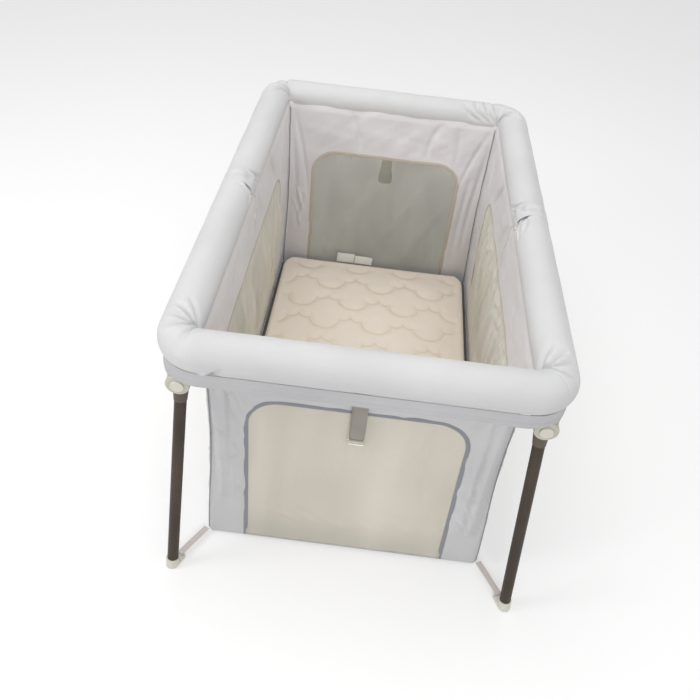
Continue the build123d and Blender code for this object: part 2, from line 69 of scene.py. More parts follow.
def paint(red, green, blue):
    # A colour given as it looks on screen, 0 to 255, as the linear numbers that a shader takes.
    share = np.array([red, green, blue]) / 255
    linear = np.where(share <= 0.04045, share / 12.92, ((share + 0.055) / 1.055) ** 2.4)
    return (*linear.tolist(), 1.0)


# Surfaces on grids
def gridNormals(points):
    # Unit normals of a grid: the cross product of its two directions, each taken between neighbours
    normal = np.cross(np.gradient(points, axis=0), np.gradient(points, axis=1))
    length = np.linalg.norm(normal, axis=-1, keepdims=True)
    return normal / np.maximum(length, 1e-12)


def gridLengths(points, wrapU=False, wrapV=False):
    # Flat coordinates of a grid in metres: the length along its middle line each way.
    nu, nv = points.shape[:2]
    rowU = points[:, nv // 2]
    rowV = points[nu // 2]
    if wrapU:
        rowU = np.concatenate([rowU, rowU[:1]])
    if wrapV:
        rowV = np.concatenate([rowV, rowV[:1]])
    along = np.concatenate([[0], np.cumsum(np.linalg.norm(np.diff(rowU, axis=0), axis=1))])
    across = np.concatenate([[0], np.cumsum(np.linalg.norm(np.diff(rowV, axis=0), axis=1))])
    u, v = np.meshgrid(along, across, indexing="ij")
    return np.stack([u, v], -1)


def insideOut(points, faces):
    # True where the volume that the faces enclose comes out negative
    a, b, c, d = (points[faces[:, k]] for k in range(4))
    return (a * np.cross(b, c)).sum() + (a * np.cross(c, d)).sum() < 0


class Cloth:
    # Points and faces of one piece, gathered grid by grid.

    def __init__(self):
        self.points, self.faces, self.uvs, self.marks, self.count = [], [], [], [], 0

    def grid(self, points, wrapU=False, wrapV=False, uv=None, flip=False, mark=0.0):
        # Four-sided faces between neighbouring points of a grid.
        nu, nv = points.shape[:2]
        if uv is None:
            uv = gridLengths(points, wrapU, wrapV)
        i, j = np.meshgrid(np.arange(nu if wrapU else nu - 1), np.arange(nv if wrapV else nv - 1), indexing="ij")
        i, j = i.ravel(), j.ravel()
        corners = [(i, j), (i + 1, j), (i + 1, j + 1), (i, j + 1)]
        if flip:
            corners = corners[::-1]
        self.faces.append(np.stack([self.count + (a % nu) * nv + b % nv for a, b in corners], 1))
        self.uvs.append(np.stack([uv[a, b] for a, b in corners], 1))
        self.points.append(points.reshape(-1, 3))
        self.marks.append(np.broadcast_to(mark, (nu, nv)).ravel())
        self.count += nu * nv

    def shell(self, outer, inner, wrapU=False, wrapV=False):
        # A closed sheet: its outer face, its inner face and the strips that join their edges.
        uv = gridLengths(outer, wrapU, wrapV)
        self.grid(outer, wrapU, wrapV, uv, mark=0.0)
        self.grid(inner, wrapU, wrapV, uv, flip=True, mark=1.0)
        if not wrapV:
            for j, flip in ((0, True), (-1, False)):
                strip = np.stack([outer[:, j], inner[:, j]], 1)
                self.grid(strip, wrapU, False, np.stack([uv[:, j], uv[:, j]], 1), flip)
        if not wrapU:
            for i, flip in ((0, False), (-1, True)):
                strip = np.stack([outer[i], inner[i]], 1)
                self.grid(strip, wrapV, False, np.stack([uv[i], uv[i]], 1), flip)

    def sheet(self, middle, thickness):
        # A closed sheet of even thickness about a middle surface.
        push = gridNormals(middle) * thickness / 2
        self.shell(middle + push, middle - push)

    def piece(self, name, material, body=None):
        # The finished object, its doubles merged and its faces turned outwards.
        points = np.concatenate(self.points)
        faces = np.concatenate(self.faces)
        uvs = np.concatenate(self.uvs).reshape(-1, 2)
        if insideOut(points, faces):
            faces = faces[:, ::-1]
            uvs = uvs.reshape(-1, 4, 2)[:, ::-1].reshape(-1, 2)
        mesh = bpy.data.meshes.new(name)
        mesh.vertices.add(len(points))
        mesh.vertices.foreach_set("co", points.astype(np.float32).ravel())
        mesh.loops.add(faces.size)
        mesh.loops.foreach_set("vertex_index", faces.astype(np.int32).ravel())
        mesh.polygons.add(len(faces))
        mesh.polygons.foreach_set("loop_start", np.arange(0, faces.size, 4, dtype=np.int32))
        layer = mesh.uv_layers.new(name="flat")
        layer.data.foreach_set("uv", uvs.astype(np.float32).ravel())
        shade = mesh.attributes.new("mark", "FLOAT", "POINT")
        shade.data.foreach_set("value", np.concatenate(self.marks).astype(np.float32))
        mesh.update(calc_edges=True)
        mergeDoubles(mesh)
        mesh.polygons.foreach_set("use_smooth", np.full(len(mesh.polygons), True))
        mesh.materials.append(material)
        piece = bpy.data.objects.new(name, mesh)
        bpy.context.scene.collection.objects.link(piece)
        if body:
            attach(piece, body)
        return piece


def mergeDoubles(mesh):
    # Points in one place become one, which closes seams and poles.
    import bmesh
    work = bmesh.new()
    work.from_mesh(mesh)
    bmesh.ops.remove_doubles(work, verts=work.verts, dist=2e-6)
    bmesh.ops.dissolve_degenerate(work, edges=work.edges, dist=1e-7)
    work.to_mesh(mesh)
    work.free()
    mesh.validate()


def gather(whole, part, flip):
    # Adds the grids of a part to a piece, with its faces turned round where it is a mirror image.
    for points, faces, uvs, marks in zip(part.points, part.faces, part.uvs, part.marks):
        whole.points.append(points)
        whole.faces.append((faces[:, ::-1] if flip else faces) + whole.count)
        whole.uvs.append(uvs[:, ::-1] if flip else uvs)
        whole.marks.append(marks)
    whole.count += part.count


def tube(cloth, line, radius, around=10):
    # A round cord along a line: circles set square to it, closed at both ends.
    slope = np.gradient(line, axis=0)
    slope /= np.linalg.norm(slope, axis=1, keepdims=True)
    helper = np.where(np.abs(slope[:, 2:]) > 0.9, [[1.0, 0, 0]], [[0, 0, 1.0]])
    one = np.cross(slope, helper)
    one /= np.linalg.norm(one, axis=1, keepdims=True)
    two = np.cross(slope, one)
    turn = np.linspace(0, 2 * pi, around, endpoint=False)
    size = np.broadcast_to(radius, len(line)).copy()
    ring = line[:, None] + size[:, None, None] * (
        np.cos(turn)[:, None] * one[:, None] + np.sin(turn)[:, None] * two[:, None])
    ring = np.concatenate([np.broadcast_to(line[0], (1, around, 3)), ring, np.broadcast_to(line[-1], (1, around, 3))])
    part = Cloth()
    part.grid(ring, wrapV=True)
    gather(cloth, part, insideOut(part.points[0], part.faces[0]))


def smoothStep(low, high, value):
    # 0 below low, 1 above high, and an even slope between.
    t = np.clip((value - low) / (high - low), 0, 1)
    return t * t * (3 - 2 * t)


def folds(a, b, lines):
    # Height of a set of folds over flat coordinates. Each line runs from (a0, b0) to (a1, b1) with a bow to
    # one side, and adds height * exp(-(distance / width) squared), fading out towards its ends.
    total = np.zeros(np.broadcast(a, b).shape)
    for a0, b0, a1, b1, bow, width, height in lines:
        da, db = a1 - a0, b1 - b0
        length = np.hypot(da, db)
        t = ((a - a0) * da + (b - b0) * db) / length ** 2
        inside = np.clip(t, 0, 1)
        side = ((a - a0) * -db + (b - b0) * da) / length - 4 * bow * inside * (1 - inside)
        beyond = (t - inside) * length
        fade = np.sin(pi * np.clip(0.06 + 0.88 * inside, 0, 1)) ** 0.7
        total += height * fade * np.exp(-(side ** 2 + beyond ** 2) / width ** 2)
    return total


def ripple(a, b, length, strength, salt):
    # Small unevenness: a few crossing sine waves of about one length, the same every run.
    draw = np.random.default_rng(salt)
    total = np.zeros(np.broadcast(a, b).shape)
    for turn, phase, stretch in zip(draw.uniform(0, pi, 7), draw.uniform(0, 2 * pi, 7), draw.uniform(0.6, 1.7, 7)):
        total += np.sin(2 * pi * (a * np.cos(turn) + b * np.sin(turn)) / (length * stretch) + phase)
    return total * strength / 7


# Materials
def newMaterial(name, roughness, **sockets):
    # A material with its constant numbers set on the shader itself.
    material = bpy.data.materials.new(name)
    material.use_nodes = True
    shader = material.node_tree.nodes["Principled BSDF"]
    shader.inputs["Roughness"].default_value = roughness
    for socket, value in sockets.items():
        shader.inputs[socket.replace("_", " ")].default_value = value
    return material, material.node_tree, shader


def node(tree, kind, inputs=(), **settings):
    # A node with its settings, and each named input either linked or set.
    made = tree.nodes.new(kind)
    for key, value in settings.items():
        setattr(made, key, value)
    for key, value in dict(inputs).items():
        if isinstance(value, bpy.types.NodeSocket):
            tree.links.new(value, made.inputs[key])
        else:
            made.inputs[key].default_value = value
    return made


def ramp(tree, factor, *stops):
    # A colour ramp through the stops (place, colour).
    made = node(tree, "ShaderNodeValToRGB", {"Fac": factor})
    elements = made.color_ramp.elements
    elements[0].position, elements[0].color = stops[0]
    elements[1].position, elements[1].color = stops[-1]
    for place, colour in stops[1:-1]:
        elements.new(place).color = colour
    return made.outputs["Color"]


def bump(tree, shader, height, distance):
    # Bump from a height
    made = node(tree, "ShaderNodeBump", {"Height": height, "Distance": distance})
    tree.links.new(made.outputs["Normal"], shader.inputs["Normal"])


def noise(tree, coords, scale, detail=2.0, rough=0.5, stretch=(1, 1, 1)):
    # A noise pattern whose stretch runs along one axis where it is given.
    turned = node(tree, "ShaderNodeMapping", {"Vector": coords, "Scale": stretch})
    made = node(tree, "ShaderNodeTexNoise", {
        "Vector": turned.outputs["Vector"], "Scale": scale, "Detail": detail, "Roughness": rough})
    return made.outputs["Fac"]


def threads(tree, coords, spacing, turn=0.0):
    # Warp and weft: the higher of two crossing wave patterns, one thread apart.
    turned = node(tree, "ShaderNodeMapping", {"Vector": coords, "Rotation": (0, 0, turn)})
    waves = [node(tree, "ShaderNodeTexWave", {
        "Vector": turned.outputs["Vector"], "Scale": 0.31416 / spacing, "Distortion": 0.0},
        bands_direction=way).outputs["Fac"] for way in ("X", "Y")]
    return node(tree, "ShaderNodeMath", {0: waves[0], 1: waves[1]}, operation="MAXIMUM").outputs["Value"]


def joined(tree, first, second, share):
    # Two patterns mixed by a share.
    made = node(tree, "ShaderNodeMix", {"Factor": share, "A": first, "B": second})
    return made.outputs["Result"]


def mixedColour(tree, share, first, second):
    # Two colours mixed by a share. The mix node keeps its colour sockets after its number sockets.
    made = tree.nodes.new("ShaderNodeMix")
    made.data_type = "RGBA"
    tree.links.new(share, made.inputs[0])
    tree.links.new(first, made.inputs[6])
    tree.links.new(second, made.inputs[7])
    return made.outputs[2]


def clothMaterial(name, look):
    # Woven or knitted cloth: patchy dye, fine flecks, and a bump of crossing threads on the flat coordinates.
    material, tree, shader = newMaterial(
        name, look["rough"], Sheen_Weight=look["sheen"], Sheen_Roughness=0.45,
        Specular_IOR_Level=look["gloss"])
    coords = node(tree, "ShaderNodeTexCoord")
    flat, place = coords.outputs["UV"], coords.outputs["Object"]
    patch = noise(tree, place, look["patch"], 3.0)
    fleck = noise(tree, flat, look["fleck"], 2.0, 0.6, look.get("grain", (1, 1, 1)))
    tone = joined(tree, patch, fleck, look["fleckShare"])
    colour = ramp(tree, tone, (0.3, look["dark"]), (0.7, look["light"]))
    # Where the look gives a second pair of colours, the mark mixes them in: on the walls this is painted light, a
    # lighter inner face; on the mattress it is painted shade along the quilting lines
    if "inLight" in look:
        mark = node(tree, "ShaderNodeAttribute", attribute_name="mark").outputs["Fac"]
        within = ramp(tree, tone, (0.3, look["inDark"]), (0.7, look["inLight"]))
        colour = mixedColour(tree, mark, colour, within)
    tree.links.new(colour, shader.inputs["Base Color"])
    weave = threads(tree, flat, look["thread"])
    height = joined(tree, weave, fleck, 0.4)
    bump(tree, shader, height, look["depth"])
    return material


def hardMaterial(name, look):
    # Moulded plastic or metal: a fine surface grain, faint mottling, and a rougher patch here and there.
    material, tree, shader = newMaterial(name, look["rough"], Metallic=look["metal"])
    place = node(tree, "ShaderNodeTexCoord").outputs["Object"]
    grain = noise(tree, place, look["grain"], 3.0, 0.6, look.get("stretch", (1, 1, 1)))
    patch = noise(tree, place, look["patch"], 3.0)
    tone = joined(tree, grain, patch, 0.5)
    tree.links.new(ramp(tree, tone, (0.3, look["dark"]), (0.7, look["light"])), shader.inputs["Base Color"])
    worn = node(tree, "ShaderNodeMapRange", {
        "Value": tone, "From Min": 0.3, "From Max": 0.7,
        "To Min": look["rough"] - look["wear"], "To Max": look["rough"] + look["wear"]})
    tree.links.new(worn.outputs["Result"], shader.inputs["Roughness"])
    bump(tree, shader, grain, look["depth"])
    return material


def netMaterial(name, look):
    # Fine knitted net: open cells between crossing threads, so that what is behind shows through.
    material, tree, shader = newMaterial(name, 0.85, Sheen_Weight=0.15, Specular_IOR_Level=0.2)
    coords = node(tree, "ShaderNodeTexCoord")
    flat, place = coords.outputs["UV"], coords.outputs["Object"]
    cell = threads(tree, flat, look["cell"], pi / 4)
    solid = node(tree, "ShaderNodeMapRange", {
        "Value": cell, "From Min": look["open"] - 0.08, "From Max": look["open"] + 0.08, "To Min": look["veil"],
        "To Max": 1.0})
    tree.links.new(solid.outputs["Result"], shader.inputs["Alpha"])
    patch = noise(tree, place, 5.0, 2.0)
    streak = noise(tree, place, 14.0, 3.0, 0.5, look["streak"])
    tone = joined(tree, patch, streak, 0.6)
    tree.links.new(ramp(tree, tone, (0.35, look["dark"]), (0.65, look["light"])), shader.inputs["Base Color"])
    bump(tree, shader, cell, 0.0003)
    return material


def tapeMaterial(name, look):
    # Ribbed tape: ribs across its length on the flat coordinates, and another colour on the side that
    # faces into the crib, taken from the mark.
    material, tree, shader = newMaterial(name, 0.75, Sheen_Weight=0.2, Specular_IOR_Level=0.3)
    coords = node(tree, "ShaderNodeTexCoord")
    flat = coords.outputs["UV"]
    mark = node(tree, "ShaderNodeAttribute", attribute_name="mark").outputs["Fac"]
    ribs = node(tree, "ShaderNodeTexWave", {
        "Vector": flat, "Scale": 0.31416 / look["rib"], "Distortion": 0.3}, bands_direction="X").outputs["Fac"]
    fleck = noise(tree, flat, 700.0, 2.0)
    tone = joined(tree, ribs, fleck, 0.6)
    outside = ramp(tree, tone, (0.2, look["outDark"]), (0.8, look["outLight"]))
    inside = ramp(tree, tone, (0.2, look["inDark"]), (0.8, look["inLight"]))
    tree.links.new(mixedColour(tree, mark, outside, inside), shader.inputs["Base Color"])
    bump(tree, shader, tone, 0.0004)
    return material


print("making materials")
webbing = {"rough": 0.8, "sheen": 0.2, "gloss": 0.3, "patch": 12.0, "fleck": 700.0, "fleckShare": 0.5,
           "thread": 0.0016, "depth": 0.0006}
looks = {
    "cover": {"light": paint(227, 227, 227), "dark": paint(208, 208, 209), "rough": 0.9, "sheen": 0.35, "gloss": 0.25,
              "patch": 7.0, "fleck": 900.0, "fleckShare": 0.6, "thread": 0.0011, "depth": 0.0004,
              "grain": (1, 0.6, 1)},
    "skirt": {"light": paint(208, 208, 210), "dark": paint(188, 188, 190), "rough": 0.85, "sheen": 0.25, "gloss": 0.25,
              "patch": 5.0, "fleck": 600.0, "fleckShare": 0.5, "thread": 0.0012, "depth": 0.0003},
    # The panel's inLight and inDark are painted light: the faces inside the basket get a lighter colour than the
    # outside so that the inside looks brighter
    "panel": {"light": paint(216, 216, 217), "dark": paint(198, 198, 200), "inLight": paint(238, 236, 238),
              "inDark": paint(223, 221, 224), "rough": 0.36, "sheen": 0.3, "gloss": 0.5,
              "patch": 4.0, "fleck": 900.0, "fleckShare": 0.35, "thread": 0.0009, "depth": 0.00012},
    "floor": {"light": paint(128, 128, 130), "dark": paint(108, 108, 111), "rough": 0.7, "sheen": 0.2, "gloss": 0.4,
              "patch": 6.0, "fleck": 700.0, "fleckShare": 0.4, "thread": 0.0014, "depth": 0.0003},
    # The quilt's inLight and inDark are painted shade: a darker colour along the quilting lines
    "quilt": {"light": paint(250, 240, 227), "dark": paint(240, 229, 214), "inLight": paint(232, 219, 202),
              "inDark": paint(221, 207, 189), "rough": 0.95, "sheen": 0.3, "gloss": 0.15,
              "patch": 6.0, "fleck": 800.0, "fleckShare": 0.45, "thread": 0.001, "depth": 0.0003},
    "tag": {"light": paint(246, 246, 244), "dark": paint(236, 236, 233), "rough": 0.7, "sheen": 0.1, "gloss": 0.4,
            "patch": 20.0, "fleck": 900.0, "fleckShare": 0.4, "thread": 0.0006, "depth": 0.0001},
    "thread": {"light": paint(206, 206, 204), "dark": paint(186, 186, 184), "rough": 0.8, "sheen": 0.2, "gloss": 0.3,
               "patch": 30.0, "fleck": 1200.0, "fleckShare": 0.5, "thread": 0.0004, "depth": 0.0001},
    "anchorWeb": {"light": paint(228, 219, 214), "dark": paint(206, 196, 190), **webbing},
    "tieWeb": {"light": paint(172, 166, 158), "dark": paint(146, 140, 132), **webbing},
    "farWeb": {"light": paint(242, 234, 224), "dark": paint(226, 217, 206), **webbing},
    "bronze": {"light": paint(92, 82, 73), "dark": paint(70, 62, 55), "rough": 0.42, "metal": 0.75, "wear": 0.08,
               "grain": 260.0, "patch": 9.0, "depth": 0.00006, "stretch": (6, 6, 0.4)},
    "knuckle": {"light": paint(104, 94, 84), "dark": paint(84, 75, 66), "rough": 0.5, "metal": 0.0, "wear": 0.07,
                "grain": 900.0, "patch": 12.0, "depth": 0.0001},
    "mill": {"light": paint(205, 205, 208), "dark": paint(180, 180, 184), "rough": 0.4, "metal": 0.9, "wear": 0.08,
             "grain": 300.0, "patch": 9.0, "depth": 0.00005},
    "sage": {"light": paint(206, 204, 190), "dark": paint(190, 188, 173), "rough": 0.55, "metal": 0.0, "wear": 0.08,
             "grain": 900.0, "patch": 12.0, "depth": 0.00012},
    "cream": {"light": paint(226, 224, 213), "dark": paint(212, 209, 197), "rough": 0.5, "metal": 0.0, "wear": 0.07,
              "grain": 900.0, "patch": 12.0, "depth": 0.00008},
    "wire": {"light": paint(232, 228, 218), "dark": paint(204, 200, 190), "rough": 0.28, "metal": 1.0, "wear": 0.08,
             "grain": 500.0, "patch": 30.0, "depth": 0.00004},
}
hardNames = ("bronze", "knuckle", "mill", "sage", "cream", "wire")
paints = {key: (hardMaterial if key in hardNames else clothMaterial)(key, look) for key, look in looks.items()}
paints["tape"] = tapeMaterial("tape", {
    "rib": 0.0012, "outLight": paint(160, 163, 168), "outDark": paint(128, 131, 136),
    "inLight": paint(216, 204, 189), "inDark": paint(192, 180, 166)})
paints["nearNet"] = netMaterial("nearNet", {
    "cell": 0.0016, "open": 0.84, "veil": 0.36, "light": paint(244, 239, 227), "dark": paint(228, 223, 210),
    "streak": (1, 1, 0.12)})
paints["sideNet"] = netMaterial("sideNet", {
    "cell": 0.0016, "open": 0.72, "veil": 0.74, "light": paint(248, 245, 235), "dark": paint(228, 225, 214),
    "streak": (1, 1, 0.1)})
# The far net's darker colours are painted shade: the same net as the near one, darkened where it is seen from inside
# the basket
paints["farNet"] = netMaterial("farNet", {
    "cell": 0.0016, "open": 0.84, "veil": 0.4, "light": paint(192, 191, 180), "dark": paint(170, 169, 158),
    "streak": (1, 1, 0.3)})

# Rail covers
railCover = {
    "around": 112, "step": 0.004, "endRound": 0.006, "barrelRoom": 0.0085, "depth": 2.8,
    # folds in metres along the rail from the left middle, and round the tube from its outer side
    "near": [
        (0.5, 0.052, 0.572, 0.128, 0.004, 0.005, -0.0042), (0.522, 0.04, 0.576, 0.128, 0.004, 0.0045, -0.004),
        (0.545, 0.03, 0.58, 0.128, 0.003, 0.0042, -0.0036), (0.48, 0.075, 0.566, 0.13, 0.005, 0.006, -0.0026),
        (0.59, 0.02, 0.583, 0.128, 0.002, 0.0045, -0.003), (0.655, 0.262, 0.604, 0.212, 0.006, 0.006, -0.003),
        (0.632, 0.25, 0.592, 0.205, 0.004, 0.006, 0.0018), (0.508, 0.045, 0.57, 0.118, 0.004, 0.006, 0.0016),
        (1.336, 0.052, 1.264, 0.128, -0.004, 0.005, -0.004), (1.315, 0.04, 1.261, 0.128, -0.004, 0.0045, -0.0038),
        (1.292, 0.03, 1.258, 0.128, -0.003, 0.0042, -0.0034), (1.356, 0.078, 1.27, 0.13, -0.005, 0.006, -0.0026),
        (0.02, 0.06, 0.062, 0.128, 0.01, 0.0048, -0.0036), (0.008, 0.052, 0.04, 0.128, 0.01, 0.0046, -0.0036),
        (0.04, 0.08, 0.085, 0.13, 0.008, 0.006, -0.0022), (0.03, 0.06, 0.066, 0.12, 0.01, 0.007, 0.0016),
        (1.817, 0.06, 1.775, 0.128, -0.01, 0.0048, -0.0034), (1.829, 0.052, 1.797, 0.128, -0.01, 0.0046, -0.0034),
        (1.8, 0.096, 1.74, 0.118, -0.006, 0.004, -0.003), (1.806, 0.112, 1.745, 0.134, -0.006, 0.0038, -0.0026),
        (1.803, 0.088, 1.752, 0.104, 0.006, 0.0042, -0.0024), (1.797, 0.104, 1.76, 0.126, 0.004, 0.006, 0.0014),
    ],
    "far": [
        (0.5, 0.052, 0.572, 0.128, 0.004, 0.005, -0.0038), (0.522, 0.04, 0.576, 0.128, 0.004, 0.0045, -0.0036),
        (0.59, 0.03, 0.584, 0.128, 0.003, 0.0042, -0.0034), (0.56, 0.03, 0.58, 0.128, 0.003, 0.0044, -0.0034),
        (1.19, 0.05, 1.222, 0.128, 0.01, 0.005, -0.0036), (1.16, 0.06, 1.205, 0.13, 0.012, 0.005, -0.0032),
        (1.13, 0.075, 1.18, 0.13, 0.012, 0.0056, -0.0028), (1.215, 0.04, 1.24, 0.128, 0.006, 0.0048, -0.0036),
        (1.33, 0.052, 1.266, 0.128, -0.004, 0.005, -0.0034), (1.305, 0.04, 1.26, 0.128, -0.004, 0.0045, -0.0034),
        (0.02, 0.06, 0.058, 0.128, 0.01, 0.0048, -0.0034), (0.008, 0.05, 0.034, 0.128, 0.01, 0.0046, -0.0034),
        (1.817, 0.06, 1.779, 0.128, -0.01, 0.0048, -0.0032), (1.829, 0.05, 1.803, 0.128, -0.01, 0.0046, -0.0032),
    ],
}


def railLine(end, distance, reach=0.0):
    # A point on the line round a half frame, at a distance from its left middle, with the way outwards.
    # The line is two straight runs, two quarter circles and the end run; the far half mirrors the near one.
    side = rail["y"] - rail["bend"]
    arc = rail["bend"] * pi / 2
    across = 2 * (rail["x"] - rail["bend"])
    marks = np.cumsum([0, side, arc, across, arc, side])
    turn = (np.clip((distance - marks[1]) / arc, 0, 1) + np.clip((distance - marks[3]) / arc, 0, 1)) * pi / 2
    out = np.stack([-np.cos(turn), -np.sin(turn), np.zeros_like(turn)], -1)
    straightX = np.clip(distance - marks[2], 0, across)
    straightY = np.clip(distance, 0, side) - np.clip(distance - marks[4], 0, side)
    x = -(rail["x"] - rail["bend"]) + straightX
    y = -straightY
    line = np.stack([x, y, np.full_like(x, rail["z"])], -1) + out * (rail["bend"] + reach)
    if end == "far":
        line[..., 1] *= -1
        out[..., 1] *= -1
    return line, out


railLength = 2 * (rail["y"] - rail["bend"]) + 2 * (rail["x"] - rail["bend"]) + rail["bend"] * pi


def makeRailCover(end):
    # A tube round the rail. Its radius is the pad's, less the folds, drawn in to a point at the middle of
    # each long rail, with a hollow over the hinge barrel and a pocket round the lock button.
    s = railCover
    gap = 0.0004
    ease = np.linspace(0, 1, 13)[1:] ** 2 * s["endRound"]
    run = np.arange(gap + s["endRound"], railLength - gap - s["endRound"], s["step"])
    side, arc = rail["y"] - rail["bend"], rail["bend"] * pi / 2
    mitres = (side + arc / 2, railLength - side - arc / 2)
    fine = [middle + np.arange(-0.004, 0.0041, 0.0008) for middle in mitres]
    run = np.unique(np.round(np.concatenate([run[1:], *fine]), 6))
    along = np.concatenate([[gap], gap + ease, run, (railLength - gap - ease)[::-1], [railLength - gap]])
    turn = np.linspace(0, 2 * pi, s["around"], endpoint=False)
    a, phi = np.meshgrid(along, turn, indexing="ij")
    b = phi * rail["radius"]
    toEnd = np.minimum(a - gap, railLength - gap - a)
    radius = np.full_like(a, rail["radius"] - 0.0004)
    lift = s["depth"] * folds(a, b, s[end]) + ripple(a, b, 0.09, 0.0009, 5 if end == "near" else 6)
    inner = smoothStep(1.9, 2.6, phi) * (1 - smoothStep(4.2, 5.0, phi))
    lift = np.where(lift > 0, lift * (1 - inner), lift)
    seam = np.exp(-((phi - 4.95) * rail["radius"] / 0.003) ** 2)       # sewn line along the underside
    radius = radius + lift - 0.0016 * seam
    for middle in mitres:                                               # sewn mitre across each corner
        radius = radius - 0.0013 * np.exp(-((a - middle) / 0.0011) ** 2)
    closing = np.clip(1 - toEnd / s["endRound"], 0, 1)
    radius = radius - s["endRound"] * (1 - np.sqrt(np.clip(1 - closing ** 2, 0, 1))) * 0.8
    over = np.exp(-(np.abs(phi - pi / 2) * rail["radius"] / 0.021) ** 4 - (toEnd / 0.012) ** 4)
    radius = radius - s["barrelRoom"] * over
    if end == "near":
        for middle in (0.028, railLength - 0.028):
            near = ((a - middle) / 0.0125) ** 4 + ((b - pi * rail["radius"]) / 0.0075) ** 4
            radius = radius - 0.0055 * np.exp(-near)
    line, out = railLine(end, a)
    up = np.array([0, 0, 1.0])
    shape = line + radius[..., None] * (np.cos(phi)[..., None] * out + np.sin(phi)[..., None] * up)
    middles = line[[0, -1], :1]
    shape[0] = middles[0]
    shape[-1] = middles[1]
    cover = Cloth()
    cover.grid(shape, wrapV=True, uv=np.stack(np.meshgrid(
        along, np.append(turn, 2 * pi) * rail["radius"], indexing="ij"), -1))
    made = cover.piece(f"{end}RailCover", paints["cover"], f"{end}_frame")
    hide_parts(f"{end}_end_pad", f"{end}_left_pad", f"{end}_right_pad")


print("making rail covers")
for end in ("near", "far"):
    makeRailCover(end)

# Fabric over the hinge in the middle of each long rail
hingeWrap = {"halfLength": 0.03, "spread": 1.15, "rise": 0.0098, "flat": 0.0125, "thick": 0.0008}


def makeHingeWrap(side, sign):
    # A patch on the rail: its radius is the cover's plus rise * exp(-(y / flat)^4 - (angle from the top)^4).
    s = hingeWrap
    y = np.linspace(-s["halfLength"], s["halfLength"], 61)
    phi = pi / 2 + np.linspace(-s["spread"], s["spread"], 61)
    yy, pp = np.meshgrid(y, phi, indexing="ij")
    arc = (pp - pi / 2) * rail["radius"]
    edge = np.clip(1 - (yy / s["halfLength"]) ** 6, 0, 1) * np.clip(1 - ((pp - pi / 2) / s["spread"]) ** 6, 0, 1)
    hump = np.exp(-(yy / s["flat"]) ** 4 - (arc / 0.022) ** 4)
    small = folds(yy, arc, [
        (-0.02, -0.03, -0.006, 0.034, 0.004, 0.0032, -0.0012), (0.021, 0.03, 0.01, -0.036, 0.004, 0.003, -0.0012),
        (-0.012, 0.02, 0.016, 0.036, 0.003, 0.003, -0.001)])
    radius = rail["radius"] - 0.0006 + edge ** 0.5 * (0.0012 + s["rise"] * hump + small)
    middle = np.stack([
        sign * (rail["x"] + radius * np.cos(pp)), yy, rail["z"] + radius * np.sin(pp)], -1)
    patch = Cloth()
    patch.sheet(middle, s["thick"])
    made = patch.piece(f"{side}HingeWrap", paints["cover"])
    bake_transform(made)


for side, sign in (("left", -1), ("right", 1)):
    makeHingeWrap(side, sign)

# Skirts
skirt = {"reach": 0.03, "top": 0.595, "hem": 0.563, "thick": 0.0015, "hemHigh": 0.011, "hemThick": 0.003,
         "wave": 0.003, "stitch": 0.0045}


def makeSkirt(end):
    # Cloth that hangs from the underside of the rail: a line round the half frame, 30 mm outside it, moved out
    # and in by slow waves that grow towards the hem, with the hem's own thickness over its lowest part.
    s = skirt
    along = np.linspace(0.0004, railLength - 0.0004, 420)
    drop = np.concatenate([np.linspace(0, 1, 15)[:-1] * 0.62, np.linspace(0.62, 1.0, 13)])
    a, t = np.meshgrid(along, drop, indexing="ij")

    def sway(a, t):
        wave = ripple(a, t * 0.02, 0.16, s["wave"], 21 if end == "near" else 22) * t ** 1.5
        return wave + folds(a, t * 0.032, [
            (0.56, 0.0, 0.566, 0.04, 0, 0.006, 0.0022), (0.6, 0.0, 0.596, 0.04, 0, 0.006, -0.0018),
            (1.272, 0.0, 1.268, 0.04, 0, 0.006, 0.0022), (1.236, 0.0, 1.24, 0.04, 0, 0.006, -0.0018)])

    wave = sway(a, t)
    z = s["top"] + (s["hem"] - s["top"]) * t
    hem = smoothStep(s["hem"] + s["hemHigh"] + 0.0006, s["hem"] + s["hemHigh"] - 0.0006, z)
    stitch = 0.0005 * (np.exp(-((z - s["hem"] - 0.0085) / 0.0007) ** 2)
                       + np.exp(-((z - s["hem"] - 0.0025) / 0.0007) ** 2))
    line, out = railLine(end, a, s["reach"])
    inner = line + out * wave[..., None]
    outer = inner + out * (s["thick"] + (s["hemThick"] - s["thick"]) * hem - stitch)[..., None]
    inner[..., 2] = z
    outer[..., 2] = z
    cloth = Cloth()
    cloth.shell(outer, inner)
    made = cloth.piece(f"{end}Skirt", paints["skirt"], f"{end}_frame")
    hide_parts(f"{end}_skirt")
    stitches = Cloth()
    for above in (0.0085, 0.0025):                                      # two rows of stitches in the hem
        row = np.arange(0.004, railLength - 0.004, s["stitch"] / 5)
        down = np.full_like(row, (s["top"] - s["hem"] - above) / (s["top"] - s["hem"]))
        line, out = railLine(end, row, s["reach"])
        line = line + out * (sway(row, down) + s["hemThick"] - 0.0003)[..., None]
        line[:, 2] = s["hem"] + above
        swell = 0.00042 * np.clip(0.75 + np.sin(2 * pi * row / s["stitch"]), 0.08, 1.0)
        tube(stitches, line, swell, around=6)
    made = stitches.piece(f"{end}SkirtStitches", paints["thread"], f"{end}_frame")


print("making skirts")
for end in ("near", "far"):
    makeSkirt(end)

# Basket walls
def wallHalf(z):
    # Half width and half length of the basket at a height: it leans out towards the floor, and the stretched
    # cloth draws in between the rail and the floor.
    down = (wall["topZ"] - z) / (wall["topZ"] - wall["baseZ"])
    drawn = wall["drawIn"] * np.sin(pi * np.clip(down, 0, 1)) ** 2
    return (wall["topX"] + (wall["baseX"] - wall["topX"]) * down - drawn,
            wall["topY"] + (wall["baseY"] - wall["topY"]) * down - drawn)


